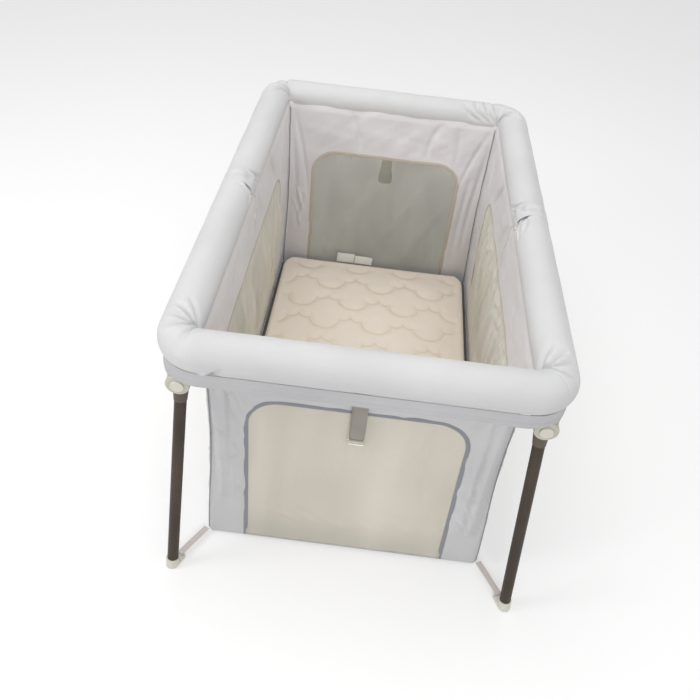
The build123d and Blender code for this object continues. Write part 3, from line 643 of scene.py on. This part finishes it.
def onWall(kind, end, side, a, z, push):
    # A point on a wall: a is across an end wall, or along a side wall from the middle; push is outwards.
    # Near a corner the wall follows a quarter circle, of which each wall has half.
    halfX, halfY = wallHalf(z)
    half, other = (halfX, halfY) if kind == "end" else (halfY, halfX)
    r = wall["corner"]
    past = np.clip((np.abs(a) - (half - r)) / r, 0, 1) * pi / 4
    push = push + wall["tuck"] * smoothStep(0.594, 0.618, z)
    along = np.where(past > 0, half - r + (r + push) * np.sin(past), np.abs(a)) * np.sign(a)
    away = np.where(past > 0, other - r + (r + push) * np.cos(past), other + push)
    x, y = (along, away) if kind == "end" else (away, along)
    signX = 1 if kind == "end" else side
    signY = end
    return np.stack([x * signX, (y if kind == "end" else np.abs(y)) * signY, z], -1)


def pathPoints(*runs):
    # Points along straight runs, each given as (start, end, number)
    return np.concatenate([np.linspace(0, 1, number, endpoint=False)[:, None] * (np.array(b) - np.array(a))
                           + np.array(a) for a, b, number in runs])


def windowOutline(half, whole=True):
    # The edge of a window, from its bottom middle round to the right, with matching points on the edge of the
    # wall. Flat coordinates: across, and height. Returns the two lines.
    r, top, low, wide = window["corner"], window["top"], window["bottom"], half
    turn = np.linspace(0, pi / 2, 33)[:-1]
    arc = np.stack([wide - r + r * np.cos(turn), top - r + r * np.sin(turn)], -1)
    bottom = pathPoints(((0, low), (wide, low), 30))
    side = pathPoints(((wide, low), (wide, top - r), 70))
    over = pathPoints(((wide - r, top), (0, top), 40))
    inner = np.concatenate([bottom, side, arc, over, [[0, top]]])
    limit = half + 0.1
    share = np.linspace(0, 1, 17)
    outer = np.concatenate([
        pathPoints(((0, wall["baseZ"]), (limit, wall["baseZ"]), 30)),
        pathPoints(((limit, wall["baseZ"]), (limit, top - r), 70)),
        np.stack([np.full(16, limit), top - r + (wall["topZ"] - top + r) * share[:-1]], -1),
        np.stack([limit - (limit - wide + r) * share[:-1], np.full(16, wall["topZ"])], -1),
        pathPoints(((wide - r, wall["topZ"]), (0, wall["topZ"]), 40)), [[0, wall["topZ"]]]])
    if whole:
        flip = np.array([-1, 1])
        inner = np.concatenate([inner, (inner * flip)[-2:0:-1]])
        outer = np.concatenate([outer, (outer * flip)[-2:0:-1]])
    return inner, outer, limit


wallFolds = {
    # across or along, height: from, to, bow, width, height of the fold
    "nearEnd": [
        (-0.292, 0.55, -0.246, 0.36, 0.002, 0.0024, 0.0018), (-0.312, 0.37, -0.268, 0.345, 0.0, 0.0024, 0.0018),
        (-0.268, 0.345, -0.246, 0.29, 0.0, 0.0026, 0.0016), (-0.297, 0.28, -0.246, 0.287, 0.002, 0.0026, 0.0018),
        (0.246, 0.27, 0.29, 0.238, 0.004, 0.008, 0.0026), (0.246, 0.222, 0.294, 0.18, 0.004, 0.0085, 0.0028),
        (0.246, 0.17, 0.294, 0.122, 0.004, 0.008, 0.0028), (0.25, 0.112, 0.292, 0.06, 0.004, 0.008, 0.0024),
        (0.25, 0.32, 0.284, 0.3, 0.002, 0.006, 0.0018),
        (-0.306, 0.6, -0.224, 0.44, 0.004, 0.0045, 0.003), (-0.3, 0.606, -0.206, 0.47, 0.004, 0.005, 0.0026),
        (-0.31, 0.585, -0.236, 0.4, 0.004, 0.005, 0.0026), (-0.296, 0.56, -0.29, 0.12, 0.004, 0.009, 0.003),
        (-0.268, 0.54, -0.262, 0.08, 0.003, 0.01, 0.0026), (-0.316, 0.52, -0.312, 0.08, 0.002, 0.007, -0.0024),
        (-0.246, 0.42, -0.246, 0.06, 0.001, 0.007, 0.0018), (-0.16, 0.56, -0.02, 0.52, -0.014, 0.008, 0.0032),
        (-0.175, 0.53, -0.03, 0.5, -0.012, 0.007, 0.0028), (-0.11, 0.59, -0.01, 0.56, -0.01, 0.008, 0.0026),
        (0.16, 0.555, 0.028, 0.515, 0.014, 0.008, 0.003), (0.12, 0.59, 0.025, 0.555, 0.01, 0.008, 0.0024),
        (0.306, 0.6, 0.226, 0.44, -0.004, 0.005, 0.003), (0.298, 0.606, 0.206, 0.474, -0.004, 0.005, 0.0024),
        (0.298, 0.54, 0.288, 0.1, -0.004, 0.009, 0.003), (0.268, 0.5, 0.262, 0.09, -0.003, 0.009, 0.0024),
        (0.312, 0.5, 0.308, 0.1, 0.002, 0.006, -0.0022), (0.247, 0.38, 0.246, 0.06, 0.001, 0.007, 0.0018),
    ],
    "farEnd": [
        (-0.3, 0.59, -0.246, 0.3, 0.006, 0.006, 0.0024), (-0.31, 0.56, -0.28, 0.16, 0.006, 0.007, 0.0026),
        (-0.29, 0.34, -0.262, 0.24, 0.003, 0.004, -0.0026), (-0.296, 0.28, -0.27, 0.18, 0.003, 0.0036, -0.0026),
        (-0.262, 0.3, -0.286, 0.2, 0.003, 0.004, 0.0024), (0.3, 0.59, 0.24, 0.4, -0.006, 0.005, 0.0026),
        (0.308, 0.54, 0.286, 0.16, -0.006, 0.008, 0.0028), (0.27, 0.42, 0.262, 0.12, -0.004, 0.008, 0.0026),
        (-0.12, 0.6, -0.09, 0.49, 0.006, 0.008, 0.002), (0.15, 0.6, 0.12, 0.49, -0.006, 0.008, 0.002),
        (0.2, 0.606, 0.214, 0.47, 0.004, 0.006, 0.0022),
    ],
    "side": [
        (0.5, 0.6, 0.4, 0.43, 0.006, 0.006, 0.0024), (0.52, 0.56, 0.47, 0.14, 0.006, 0.009, 0.0028),
        (0.48, 0.59, 0.44, 0.12, 0.004, 0.008, 0.0024), (0.43, 0.5, 0.416, 0.1, 0.003, 0.008, 0.002),
        (0.5, 0.33, 0.45, 0.24, 0.003, 0.004, -0.0024), (0.46, 0.3, 0.5, 0.18, 0.003, 0.004, 0.0024),
        (0.02, 0.6, 0.09, 0.48, 0.008, 0.007, 0.0022), (0.2, 0.604, 0.3, 0.48, 0.008, 0.008, 0.0024),
    ],
}


def wallSurface(kind, end, side, inner, outer, limit, lines, salt):
    # The wall between its window and its edges: straight lines from the window's edge to the wall's, moved
    # outwards by the folds, which fade out at both edges.
    v = np.linspace(0, 1, 30) ** 1.15
    across = inner[:, None, 0] * (1 - v) + outer[:, None, 0] * v
    z = inner[:, None, 1] * (1 - v) + outer[:, None, 1] * v
    halfX, halfY = wallHalf(z)
    half = halfX if kind == "end" else halfY
    real = inner[:, None, 0] * (1 - v) + outer[:, None, 0] / limit * half * v
    fade = np.clip(4 * v * (1 - v), 0, 1) ** 0.4
    calm = smoothStep(0.06, 0.16, z)
    push = 3.0 * folds(real, z, lines)
    push += ripple(real, z, 0.11, 0.0046, salt) + ripple(real, z, 0.045, 0.0018, salt + 1)
    push = push * fade * calm
    return real, z, push


def makeEndWall(name, end):
    # An end wall with its window, as a closed sheet.
    inner, outer, limit = windowOutline(window["endHalf"])
    real, z, push = wallSurface("end", end, 1, inner, outer, limit, wallFolds[f"{name}End"], 31 if end < 0 else 41)
    outside = onWall("end", end, 1, real, z, push)
    inside = onWall("end", end, 1, real, z, push - wall["thick"])
    cloth = Cloth()
    cloth.shell(outside, inside, wrapU=True)
    # The inner faces carry the mark, which the panel material paints lighter as painted light
    made = cloth.piece(f"{name}EndPanel", paints["panel"], f"{name}_frame")
    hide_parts(f"{name}_end_panel")


def makeSideWalls(name, end):
    # Both side walls of a half frame, each with its half of the window, as closed sheets.
    inner, outer, limit = windowOutline(window["sideHalf"], whole=False)
    cloth = Cloth()
    for side in (-1, 1):
        real, z, push = wallSurface("side", end, side, inner, outer, limit, wallFolds["side"], 51 + side + 4 * end)
        real = np.maximum(real, 0.0004)
        outside = onWall("side", end, side, real, z, push)
        inside = onWall("side", end, side, real, z, push - wall["thick"])
        half = Cloth()
        half.shell(outside, inside)
        gather(cloth, half, side * end < 0)
    # The inner faces carry the mark, which the panel material paints lighter as painted light
    made = cloth.piece(f"{name}SidePanels", paints["panel"], f"{name}_frame")
    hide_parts(f"{name}_side_panels")


print("making walls")
for name, end in ends:
    makeEndWall(name, end)
    makeSideWalls(name, end)

# Window bindings
binding = {"half": 0.0052, "proud": 0.001}


def bindingProfile(number=24):
    # A folded tape seen from its end: a flat oval round the edge of the wall. Across, outwards, and a mark that
    # is 1 on the side that faces into the crib.
    turn = np.linspace(0, 2 * pi, number, endpoint=False)
    across = binding["half"] * np.sign(np.cos(turn)) * np.abs(np.cos(turn)) ** 0.6
    out = np.sin(turn)
    out = np.sign(out) * np.abs(out) ** 0.7 * (binding["proud"] + wall["thick"] / 2)
    row = 0.00045 * (np.exp(-((across - 0.003) / 0.0007) ** 2) + np.exp(-((across + 0.0012) / 0.0007) ** 2))
    out = out - np.sign(out) * row
    return across, out - wall["thick"] / 2, (out < 0).astype(float)


def makeBindings(name, end, kind):
    # The tape carried up one side of a window, over its arch and down the other side: the profile is set
    # square to the edge at each point.
    whole = kind == "end"
    half = window["endHalf"] if whole else window["sideHalf"]
    edge = windowOutline(half, whole=False)[0][30:]
    edge[0, 1] = 0.006
    if whole:
        edge = np.concatenate([edge, (edge * [-1, 1])[-2::-1]])
    slope = np.gradient(edge, axis=0)
    slope /= np.linalg.norm(slope, axis=1, keepdims=True)
    square = np.stack([slope[:, 1], -slope[:, 0]], -1)
    across, out, mark = bindingProfile()
    flat = edge[:, None] + square[:, None] * across[:, None]
    flat[..., 1] = np.maximum(flat[..., 1], 0.0045)
    tape = Cloth()
    for side in ((1,) if whole else (-1, 1)):
        a = flat[..., 0] if whole else np.maximum(flat[..., 0], 0.0004)
        ring = onWall(kind, end, side, a, flat[..., 1], np.broadcast_to(out, a.shape))
        part = Cloth()
        marks = np.broadcast_to(mark, a.shape)
        part.grid(ring, wrapV=True, mark=marks)
        for i, flip in ((0, False), (-1, True)):
            centre = np.broadcast_to(ring[i].mean(0), ring[i].shape)
            part.grid(np.stack([ring[i], centre], 1), wrapU=True, flip=flip)
        gather(tape, part, False if whole else side * end < 0)
    title = {"end": "EndBinding", "side": "SideBindings"}[kind]
    stoodFor = {"end": "end_binding", "side": "side_bindings"}[kind]
    made = tape.piece(f"{name}{title}", paints["tape"], f"{name}_frame")
    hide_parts(f"{name}_{stoodFor}")


for name, end in ends:
    for kind in ("end", "side"):
        makeBindings(name, end, kind)

# Meshes in the windows
netFolds = {
    "near": [(-0.2, 0.09, 0.18, 0.07, -0.012, 0.008, -0.002),
             (-0.215, 0.12, -0.19, 0.42, 0.004, 0.01, 0.0012),
             (-0.18, 0.11, -0.09, 0.066, 0.004, 0.005, 0.0022), (-0.12, 0.12, -0.03, 0.07, 0.006, 0.005, -0.0022),
             (-0.05, 0.1, 0.04, 0.066, -0.004, 0.005, 0.0022), (0.03, 0.11, 0.12, 0.07, 0.004, 0.005, -0.002),
             (0.1, 0.12, 0.2, 0.066, -0.006, 0.006, 0.0022)],
    "far": [(-0.16, 0.04, 0.02, 0.43, 0.01, 0.02, -0.0026), (-0.04, 0.03, 0.16, 0.42, 0.01, 0.018, -0.0024),
            (0.08, 0.03, 0.215, 0.33, 0.006, 0.016, -0.0022)],
}


def makeNet(name, end, kind):
    # Mesh in a window: columns from its lower edge up to its arch, moved by its folds, or on a side by pleats
    # that run from top to bottom and lean a little.
    half = (window["endHalf"] if kind == "end" else window["sideHalf"]) - 0.0002
    low = 0.0064 if kind == "end" else window["bottom"] + 0.0002
    high, r = window["top"] - 0.0002, window["corner"]
    start = -half if kind == "end" else 0.0004
    columns = start + (half - start) * (np.sin(np.linspace(-pi / 2, pi / 2, 190)) * 0.5 + 0.5)
    past = np.clip(np.abs(columns) - (half - r), 0, r)
    top = high - r + np.sqrt(np.maximum(r ** 2 - past ** 2, 0))
    t = np.linspace(0, 1, 60)
    a = np.broadcast_to(columns[:, None], (190, 60))
    z = low + (top[:, None] - low) * t
    edge = (np.clip((half - np.abs(a)) / 0.03, 0, 1) * np.clip((top[:, None] - z) / 0.03, 0, 1)
            * np.clip((z - low) / 0.05, 0, 1)) ** 0.7
    net = Cloth()
    for side in ((1,) if kind == "end" else (-1, 1)):
        if kind == "end":
            push = folds(a, z, netFolds[name]) + ripple(a, z, 0.16, 0.002, 61 + end)
        else:
            draw = np.random.default_rng(70 + side + 3 * end)
            foot = draw.uniform(0.01, half, 26)
            head = foot + draw.uniform(-0.022, 0.022, 26)
            lines = [(p, draw.uniform(0.02, 0.16), q, draw.uniform(0.3, 0.46), draw.uniform(-0.006, 0.006),
                      draw.uniform(0.0028, 0.0065), draw.uniform(0.0016, 0.0042) * draw.choice([-1, 1]))
                     for p, q in zip(foot, head)]
            push = folds(a, z, lines) + ripple(a, z, 0.14, 0.0024, 63 + side)
            if side > 0:
                push = push + ripple(a, z, 0.035, 0.0034, 68) * smoothStep(0.32, 0.43, z)
        push = (1.6 if kind == "end" else 2.6) * push * edge * smoothStep(0.05, 0.11, z) - 0.0009
        if kind == "end":                                               # in front of the strip at the floor
            push = push + 0.0022 * (1 - smoothStep(0.018, 0.05, z))
        part = Cloth()
        part.shell(onWall(kind, end, side, a, z, push), onWall(kind, end, side, a, z, push - 0.0005))
        gather(net, part, False if kind == "end" else side * end < 0)
    title = {"end": "EndMesh", "side": "SideMeshes"}[kind]
    stoodFor = {"end": "end_mesh", "side": "side_meshes"}[kind]
    # The far end's net takes the darker farNet colours, which are painted shade
    look = "sideNet" if kind == "side" else f"{name}Net"
    made = net.piece(f"{name}{title}", paints[look], f"{name}_frame")
    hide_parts(f"{name}_{stoodFor}")


print("making meshes")
for name, end in ends:
    for kind in ("end", "side"):
        makeNet(name, end, kind)

# Piping in the inner corners
piping = {"radius": 0.0011, "low": 0.012, "high": 0.606}


def makePiping(name, end):
    # A dark piped seam down each inner corner, following the rounded corner of the walls with a slight waver.
    cords = Cloth()
    z = np.linspace(piping["low"], piping["high"], 90)
    for side in (-1, 1):
        halfX, halfY = wallHalf(z)
        r = wall["corner"]
        waver = 0.0012 * np.sin(z * 31 + side) * np.clip((z - 0.06) / 0.1, 0, 1)
        tuck = wall["tuck"] * smoothStep(0.594, 0.618, z)
        for reach, sway in ((-wall["thick"] - piping["radius"] * 0.9, np.abs(waver)), (piping["radius"] * 0.3, 0 * z)):
            place = (r + reach + tuck) * np.sin(pi / 4)
            x = (halfX - r + place - sway) * side
            y = (halfY - r + place - sway) * end
            tube(cords, np.stack([x, y, z], -1), piping["radius"])
    made = cords.piece(f"{name}CornerPiping", paints["tape"], f"{name}_frame")


for name, end in ends:
    makePiping(name, end)

# Base cloth
def makeFloorCloth():
    # The cloth under the mattress: a flat sheet just above the ground.
    halfX, halfY = wallHalf(np.array(0.006))
    x = np.linspace(-1, 1, 60) * (halfX - 0.0018)
    y = np.linspace(-1, 1, 100) * (halfY - 0.0018)
    xx, yy = np.meshgrid(x, y, indexing="ij")
    r = 0.0098                                                          # closes up to the rounded corner
    insideX = halfX - 0.0018 - np.abs(xx)
    insideY = halfY - 0.0018 - np.abs(yy)
    pull = np.clip(r - insideX - insideY, 0, r) * 0.5
    xx = xx - np.sign(xx) * pull
    yy = yy - np.sign(yy) * pull
    z = 0.0047 + ripple(xx, yy, 0.2, 0.0002, 81)
    cloth = Cloth()
    cloth.sheet(np.stack([xx, yy, z], -1), 0.0011)
    made = cloth.piece("floorCloth", paints["floor"], "near_frame")
    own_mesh(made)
    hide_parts("floor_sheet")


makeFloorCloth()

# Mattress
mattress = {"halfX": 0.3125, "halfY": 0.5325, "corner": 0.048, "low": 0.0057, "high": 0.0568, "crown": 0.0075,
            "drawIn": 0.003, "row": 0.102, "motif": 0.168, "lobe": 0.048, "earRise": 0.012, "earBow": 0.01,
            "puff": 0.008, "puffWidth": 0.013, "groove": 0.002, "grooveWidth": 0.0026, "seamShadeWidth": 0.0032,
            "seamShadeShare": 0.85, "edgeRoll": 0.016, "edgeDrop": 0.012, "crownRun": 0.15,
            "columns": 220, "rows": 350}


def scallopLine(number=150):
    # One motif of the quilting: a large half circle that hangs towards the near end, with a small arc on each
    # side of it that rises to a cusp.
    s = mattress
    half = s["motif"] / 2
    t = np.linspace(-half, half, number)
    lobe = -np.sqrt(np.maximum(s["lobe"] ** 2 - t ** 2, 0))
    middle = (s["lobe"] + half) / 2
    span = (half - s["lobe"]) / 2
    aside = (np.abs(t) - middle) / span
    ear = s["earRise"] * (aside + 1) / 2 - s["earBow"] * np.sqrt(np.maximum(1 - aside ** 2, 0))
    return t, np.where(np.abs(t) < s["lobe"], lobe, ear)


def scallopDistance(x, y):
    # Distance to the quilting lines: rows of the motif, every other row shifted by half of it. Each point is
    # folded into one motif and measured to the points along its line.
    s = mattress
    lineT, lineH = scallopLine()
    best = np.full(x.shape, 1.0)
    nearest = np.round(y / s["row"])
    for step in (-1, 0, 1):
        row = nearest + step
        t = (x - s["motif"] / 2 * (row % 2) - 0.03 + s["motif"] / 2) % s["motif"] - s["motif"] / 2
        h = y - row * s["row"] - 0.02
        for wrap in (-s["motif"], 0, s["motif"]):
            gaps = (t[..., None] + wrap - lineT) ** 2 + (h[..., None] - lineH) ** 2
            best = np.minimum(best, np.sqrt(gaps.min(-1)))
    return best


def makeMattress():
    # A quilted pad. Its top is a crown plus puff * (1 - exp(-(distance to the quilting / width) squared)); its
    # sides swell a little, draw in between the corners, and meet a flat bottom.
    s = mattress
    a = np.linspace(-1, 1, s["columns"])
    b = np.linspace(-1, 1, s["rows"])
    a, b = np.meshgrid(a, b, indexing="ij")
    halfX = s["halfX"] - s["drawIn"] * (1 - b ** 2)
    halfY = s["halfY"] - s["drawIn"] * (1 - a ** 2)
    y = b * halfY
    past = np.clip(np.abs(y) - (halfY - s["corner"]), 0, s["corner"])
    reach = halfX - s["corner"] + np.sqrt(np.maximum(s["corner"] ** 2 - past ** 2, 0))
    x = a * reach
    inset = np.minimum(reach - np.abs(x), halfY - np.abs(y))
    roll = np.sqrt(np.clip(1 - np.clip(1 - inset / s["edgeRoll"], 0, 1) ** 2, 0, 1))
    slope = np.clip(inset / s["crownRun"], 0, 1)
    top = s["high"] - s["crown"] * (1 - slope) ** 2 - s["edgeDrop"] * (1 - roll)
    quilt = scallopDistance(x, y)
    puff = s["puff"] * (1 - np.exp(-(quilt / s["puffWidth"]) ** 2)) - s["puff"]
    puff = puff - s["groove"] * np.exp(-(quilt / s["grooveWidth"]) ** 2)
    fadeQuilt = smoothStep(0.012, 0.035, inset)
    soft = ripple(x, y, 0.23, 0.0034, 91) + ripple(x, y, 0.06, 0.0009, 92)
    z = top + puff * fadeQuilt + (soft - 0.0026) * fadeQuilt
    upper = np.stack([x, y, z], -1)
    pad = Cloth()
    # Painted shade along the quilting lines: the mark that darkens the cloth there
    line = s["seamShadeShare"] * np.exp(-(quilt / s["seamShadeWidth"]) ** 2) * fadeQuilt
    pad.grid(upper, uv=np.stack([x, y], -1), mark=line)
    edge = np.concatenate([upper[:-1, 0], upper[-1, :-1], upper[:0:-1, -1], upper[0, :0:-1]])
    t = np.linspace(0, 1, 14)
    flat = edge[:, :2]
    out = np.roll(flat, -1, 0) - np.roll(flat, 1, 0)
    out = np.stack([out[:, 1], -out[:, 0]], -1)
    out /= np.maximum(np.linalg.norm(out, axis=1, keepdims=True), 1e-9)
    swell = np.sin(pi * t) ** 0.8 * 0.0022 - 0.006 * t ** 8
    seam = -0.0016 * (np.exp(-((t - 0.16) / 0.04) ** 2) + np.exp(-((t - 0.86) / 0.04) ** 2))
    moved = flat[:, None] + out[:, None] * (swell + seam)[:, None]
    level = edge[:, None, 2] + (s["low"] - edge[:, None, 2]) * t
    sides = np.concatenate([moved, level[..., None]], -1)
    sides[:, 0] = edge
    pad.grid(sides, wrapU=True, flip=True)
    share = np.array([1.0, 0.85, 0.4, 0.0])[None, :, None]
    lower = sides[:, -1:] * [1, 1, 0] * share + [0, 0, s["low"]]
    pad.grid(lower, wrapU=True, flip=True)
    made = pad.piece("quiltedMattress", paints["quilt"], "mattress")
    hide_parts("mattress")


print("making the mattress")
makeMattress()
careTag = {"parts": ((-0.132, 0.06, 0.03), (-0.07, 0.061, 0.024)), "low": 0.046, "thick": 0.0004}


def makeCareTag():
    # Two blank tags sewn into the far edge of the mattress: sheets that stand up and lean back a little, with
    # a curl at their free edge.
    s = careTag
    tags = Cloth()
    for start, width, height in s["parts"]:
        a, t = np.meshgrid(np.linspace(0, 1, 24), np.linspace(0, 1, 16), indexing="ij")
        x = start + a * width + 0.002 * t
        y = mattress["halfY"] + 0.0012 + 0.0045 * t ** 1.6 + 0.0009 * np.sin(5 * a + 20 * start) * t
        z = s["low"] + (height + 0.006) * t - 0.002 * a * t
        part = Cloth()
        part.sheet(np.stack([x, y, z], -1), s["thick"])
        gather(tags, part, False)
    made = tags.piece("mattressCareTags", paints["tag"], "mattress")


makeCareTag()

# Straps
straps = {"y": 0.549, "top": 0.5954}


def ribbon(cloth, line, across, width, thickness):
    # Webbing along a line: a flat oval profile, wide across and thin square to it.
    slope = np.gradient(line, axis=0)
    slope /= np.linalg.norm(slope, axis=1, keepdims=True)
    across = np.broadcast_to(np.asarray(across, float), line.shape)
    up = np.cross(across, slope)
    up /= np.linalg.norm(up, axis=1, keepdims=True)
    turn = np.linspace(0, 2 * pi, 28, endpoint=False)
    wide = np.sign(np.cos(turn)) * np.abs(np.cos(turn)) ** 0.25 * width / 2
    high = np.sign(np.sin(turn)) * np.abs(np.sin(turn)) ** 0.5 * thickness / 2
    ring = line[:, None] + wide[:, None] * across[:, None] + high[:, None] * up[:, None]
    ring = np.concatenate([np.broadcast_to(line[0], (1, 28, 3)), ring, np.broadcast_to(line[-1], (1, 28, 3))])
    part = Cloth()
    part.grid(ring, wrapV=True)
    gather(cloth, part, insideOut(part.points[0], part.faces[0]))


def makeNearStrap():
    # The near tie: a doubled band down to a loop round the wire ring.
    ringZ, loop = 0.39271, 0.0027
    z = np.linspace(straps["top"], ringZ + 0.004, 70)
    sway = 0.0006 * np.sin((z - 0.4) * 40)
    web = Cloth()
    front = np.stack([np.full_like(z, 0.0015), -straps["y"] - 0.0008 + sway, z], -1)
    ribbon(web, front, (1, 0, 0), 0.03, 0.0014)
    behind = np.stack([np.full_like(z, -0.0018), -straps["y"] + 0.0009 + sway, z], -1)
    ribbon(web, behind[3:], (1, 0, 0), 0.029, 0.0012)
    turn = np.linspace(-pi / 2, 1.5 * pi, 41)
    circle = np.stack([np.zeros_like(turn), -straps["y"] + loop * np.cos(turn), ringZ - loop * np.sin(turn)], -1)
    profile = np.linspace(-0.0152, 0.0152, 9)
    tubeOut = circle[:, None] + np.stack([profile, 0 * profile, 0 * profile], -1)[None]
    centreLine = np.array([0, -straps["y"], ringZ])
    tubeIn = (tubeOut - centreLine) * np.array([1, 0.0019 / loop, 0.0019 / loop]) + centreLine
    part = Cloth()
    part.shell(tubeOut[:-1], tubeIn[:-1], wrapU=True)
    gather(web, part, insideOut(np.concatenate(part.points), np.concatenate(part.faces)))
    made = web.piece("nearTieStrap", paints["tieWeb"], "near_frame")
    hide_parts("near_tie_strap")


def makeFarStrap():
    # The far tie: one band with a sewn sleeve above the plate.
    low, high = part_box("far_tie_strap")
    z = np.linspace(high.z, low.z, 80)
    y = (low.y + high.y) / 2
    web = Cloth()
    line = np.stack([np.full_like(z, 0.0), np.full_like(z, y), z], -1)
    ribbon(web, line, (1, 0, 0), 0.033, 0.0016)
    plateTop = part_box("strap_stud_plate")[1].z
    sleeve = np.linspace(plateTop + 0.0004, plateTop + 0.03, 24)
    ribbon(web, np.stack([0 * sleeve, np.full_like(sleeve, y - 0.0013), sleeve], -1), (1, 0, 0), 0.0345, 0.0014)
    made = web.piece("farTieStrap", paints["farWeb"], "far_frame")
    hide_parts("far_tie_strap")


makeNearStrap()
makeFarStrap()


def makeAnchor(name, end, sideName, side):
    # A flat strap from the slot of a foot's tab up to the corner of the basket.
    foot = np.array([side * 0.385, end * 0.652, 0])
    corner = np.array([side * wall["baseX"], end * wall["baseY"], 0])
    way = (corner - foot) / np.linalg.norm(corner - foot)
    across = np.cross(way, [0, 0, 1.0])
    start = foot + way * 0.025
    run = np.linalg.norm(corner - foot) - 0.025 - 0.0006
    t = np.linspace(0, 1, 60)
    lift = 0.0125 + 0.0012 * np.sin(pi * t) - 0.0004
    ahead = np.concatenate([np.full(14, 0.0), run * t[1:]])
    height = np.concatenate([np.linspace(0.0022, 0.0115, 14), lift[1:]])
    line = start + way * ahead[:, None] + np.array([0, 0, 1.0]) * height[:, None]
    web = Cloth()
    ribbon(web, line, across, 0.0148, 0.0013)
    made = web.piece(f"{name}{sideName.capitalize()}AnchorStrap", paints["anchorWeb"], f"{name}_{sideName}_leg")
    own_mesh(made)
    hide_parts(f"{name}_{sideName}_anchor_strap")


for name, end in ends:
    for sideName, side in (("left", -1), ("right", 1)):
        makeAnchor(name, end, sideName, side)
print("straps made")

# Finishes of the frame's own pieces
finishes = {
    "hub": "sage", "leg_button": "cream", "leg_knuckle": "knuckle", "leg_tube": "bronze", "foot": "cream",
    "leg_pins": "wire", "rail_tubes": "mill", "hinge_leaves": "mill", "hinge_pins": "wire", "lock_button": "cream",
    "ring": "wire", "stud_plate": "cream",
}
for nodeName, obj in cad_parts.items():
    for ending, finish in finishes.items():
        if nodeName.endswith(ending):
            obj.data.materials.clear()
            obj.data.materials.append(paints[finish])

# Studio
studio = {"floor": 0.78, "seen": 0.64, "glow": 0.38, "sky": 0.52, "top": 44.0, "left": 20.0, "front": 18.0}


def makeStudio():
    # A pale floor, an even sky, a large soft lamp above and two weaker ones.
    size = 14.0
    corners = np.array([[-size, -size, 0], [size, -size, 0], [size, size, 0], [-size, size, 0]], float)
    mesh = bpy.data.meshes.new("studioFloor")
    mesh.from_pydata((corners - [0, 0, 0.0006]).tolist(), [], [(0, 1, 2, 3)])
    material, tree, shader = newMaterial("studioFloor", 0.9, Specular_IOR_Level=0.1)
    path = node(tree, "ShaderNodeLightPath")
    level = studio["floor"]
    shade = ramp(tree, path.outputs["Is Camera Ray"], (0.0, (level,) * 3 + (1,)), (1.0, (studio["seen"],) * 3 + (1,)))
    tree.links.new(shade, shader.inputs["Base Color"])
    glow = node(tree, "ShaderNodeMath", {0: path.outputs["Is Camera Ray"], 1: studio["glow"]}, operation="MULTIPLY")
    shader.inputs["Emission Color"].default_value = (1, 1, 1, 1)
    tree.links.new(glow.outputs[0], shader.inputs["Emission Strength"])
    mesh.materials.append(material)
    floor = bpy.data.objects.new("studioFloor", mesh)
    bpy.context.scene.collection.objects.link(floor)
    world = bpy.data.worlds.new("studioSky")
    bpy.context.scene.world = world
    world.use_nodes = True
    tree = world.node_tree
    tree.nodes.clear()
    path = node(tree, "ShaderNodeLightPath")
    seen = node(tree, "ShaderNodeMath", {0: path.outputs["Is Camera Ray"], 1: path.outputs["Is Glossy Ray"]},
                operation="MAXIMUM")
    seen = node(tree, "ShaderNodeMath", {0: seen.outputs[0], 1: path.outputs["Is Transmission Ray"]},
                operation="MAXIMUM")
    light = node(tree, "ShaderNodeBackground", {"Color": (1, 1, 1, 1), "Strength": studio["sky"]})
    white = node(tree, "ShaderNodeBackground", {"Color": (1, 1, 1, 1), "Strength": 1.0})
    mix = node(tree, "ShaderNodeMixShader", {0: seen.outputs[0], 1: light.outputs[0], 2: white.outputs[0]})
    node(tree, "ShaderNodeOutputWorld", {"Surface": mix.outputs[0]})
    for name, place, aim, size, power in (
            ("top", (-0.2, 0.1, 3.2), (0, 0, 0.3), 2.6, studio["top"]),
            ("left", (-2.6, -1.2, 2.0), (0, 0, 0.3), 0.9, studio["left"]),
            ("front", (0.4, -3.0, 1.5), (0, 0, 0.3), 0.9, studio["front"])):
        lamp = bpy.data.lights.new(f"{name}Lamp", "AREA")
        lamp.size = size
        lamp.energy = power
        lampObject = bpy.data.objects.new(f"{name}Lamp", lamp)
        back = np.array(place) - np.array(aim)
        lampObject.matrix_world = lookFrom(np.array(place), back / np.linalg.norm(back))
        bpy.context.scene.collection.objects.link(lampObject)


def lookFrom(place, back):
    # The matrix of something at a place whose own Z axis is the way back.
    right = np.cross([0, 0, 1.0], back)
    right /= np.linalg.norm(right)
    up = np.cross(back, right)
    m = np.eye(4)
    m[:3, 0], m[:3, 1], m[:3, 2], m[:3, 3] = right, up, back, place
    return Matrix(m.tolist())


camera = {
    "place": (-0.02016, -1.54811, 1.58193), "right": (0.992383, 0.090329, 0.083766),
    "down": (0.122055, -0.628824, -0.767908), "ahead": (-0.016691, 0.772283, -0.635059),
    "focal": 734.64, "middle": (1.11, -48.19), "picture": 700,
}


def makeCamera():
    # The camera at the photograph's place, set from its three directions and its focal length in pixels.
    s = camera
    data = bpy.data.cameras.new("cribCamera")
    data.sensor_width = 36.0
    data.lens = s["focal"] * 36.0 / s["picture"]
    data.shift_x = -s["middle"][0] / s["picture"]
    data.shift_y = s["middle"][1] / s["picture"]
    data.clip_start, data.clip_end = 0.05, 50
    view = bpy.data.objects.new("cribCamera", data)
    m = np.eye(4)
    m[:3, 0], m[:3, 1], m[:3, 2], m[:3, 3] = s["right"], -np.array(s["down"]), -np.array(s["ahead"]), s["place"]
    view.matrix_world = Matrix(m.tolist())
    bpy.context.scene.collection.objects.link(view)
    bpy.context.scene.camera = view


makeStudio()
makeCamera()
bpy.context.scene.view_settings.view_transform = "Standard"
print("studio and camera ready")
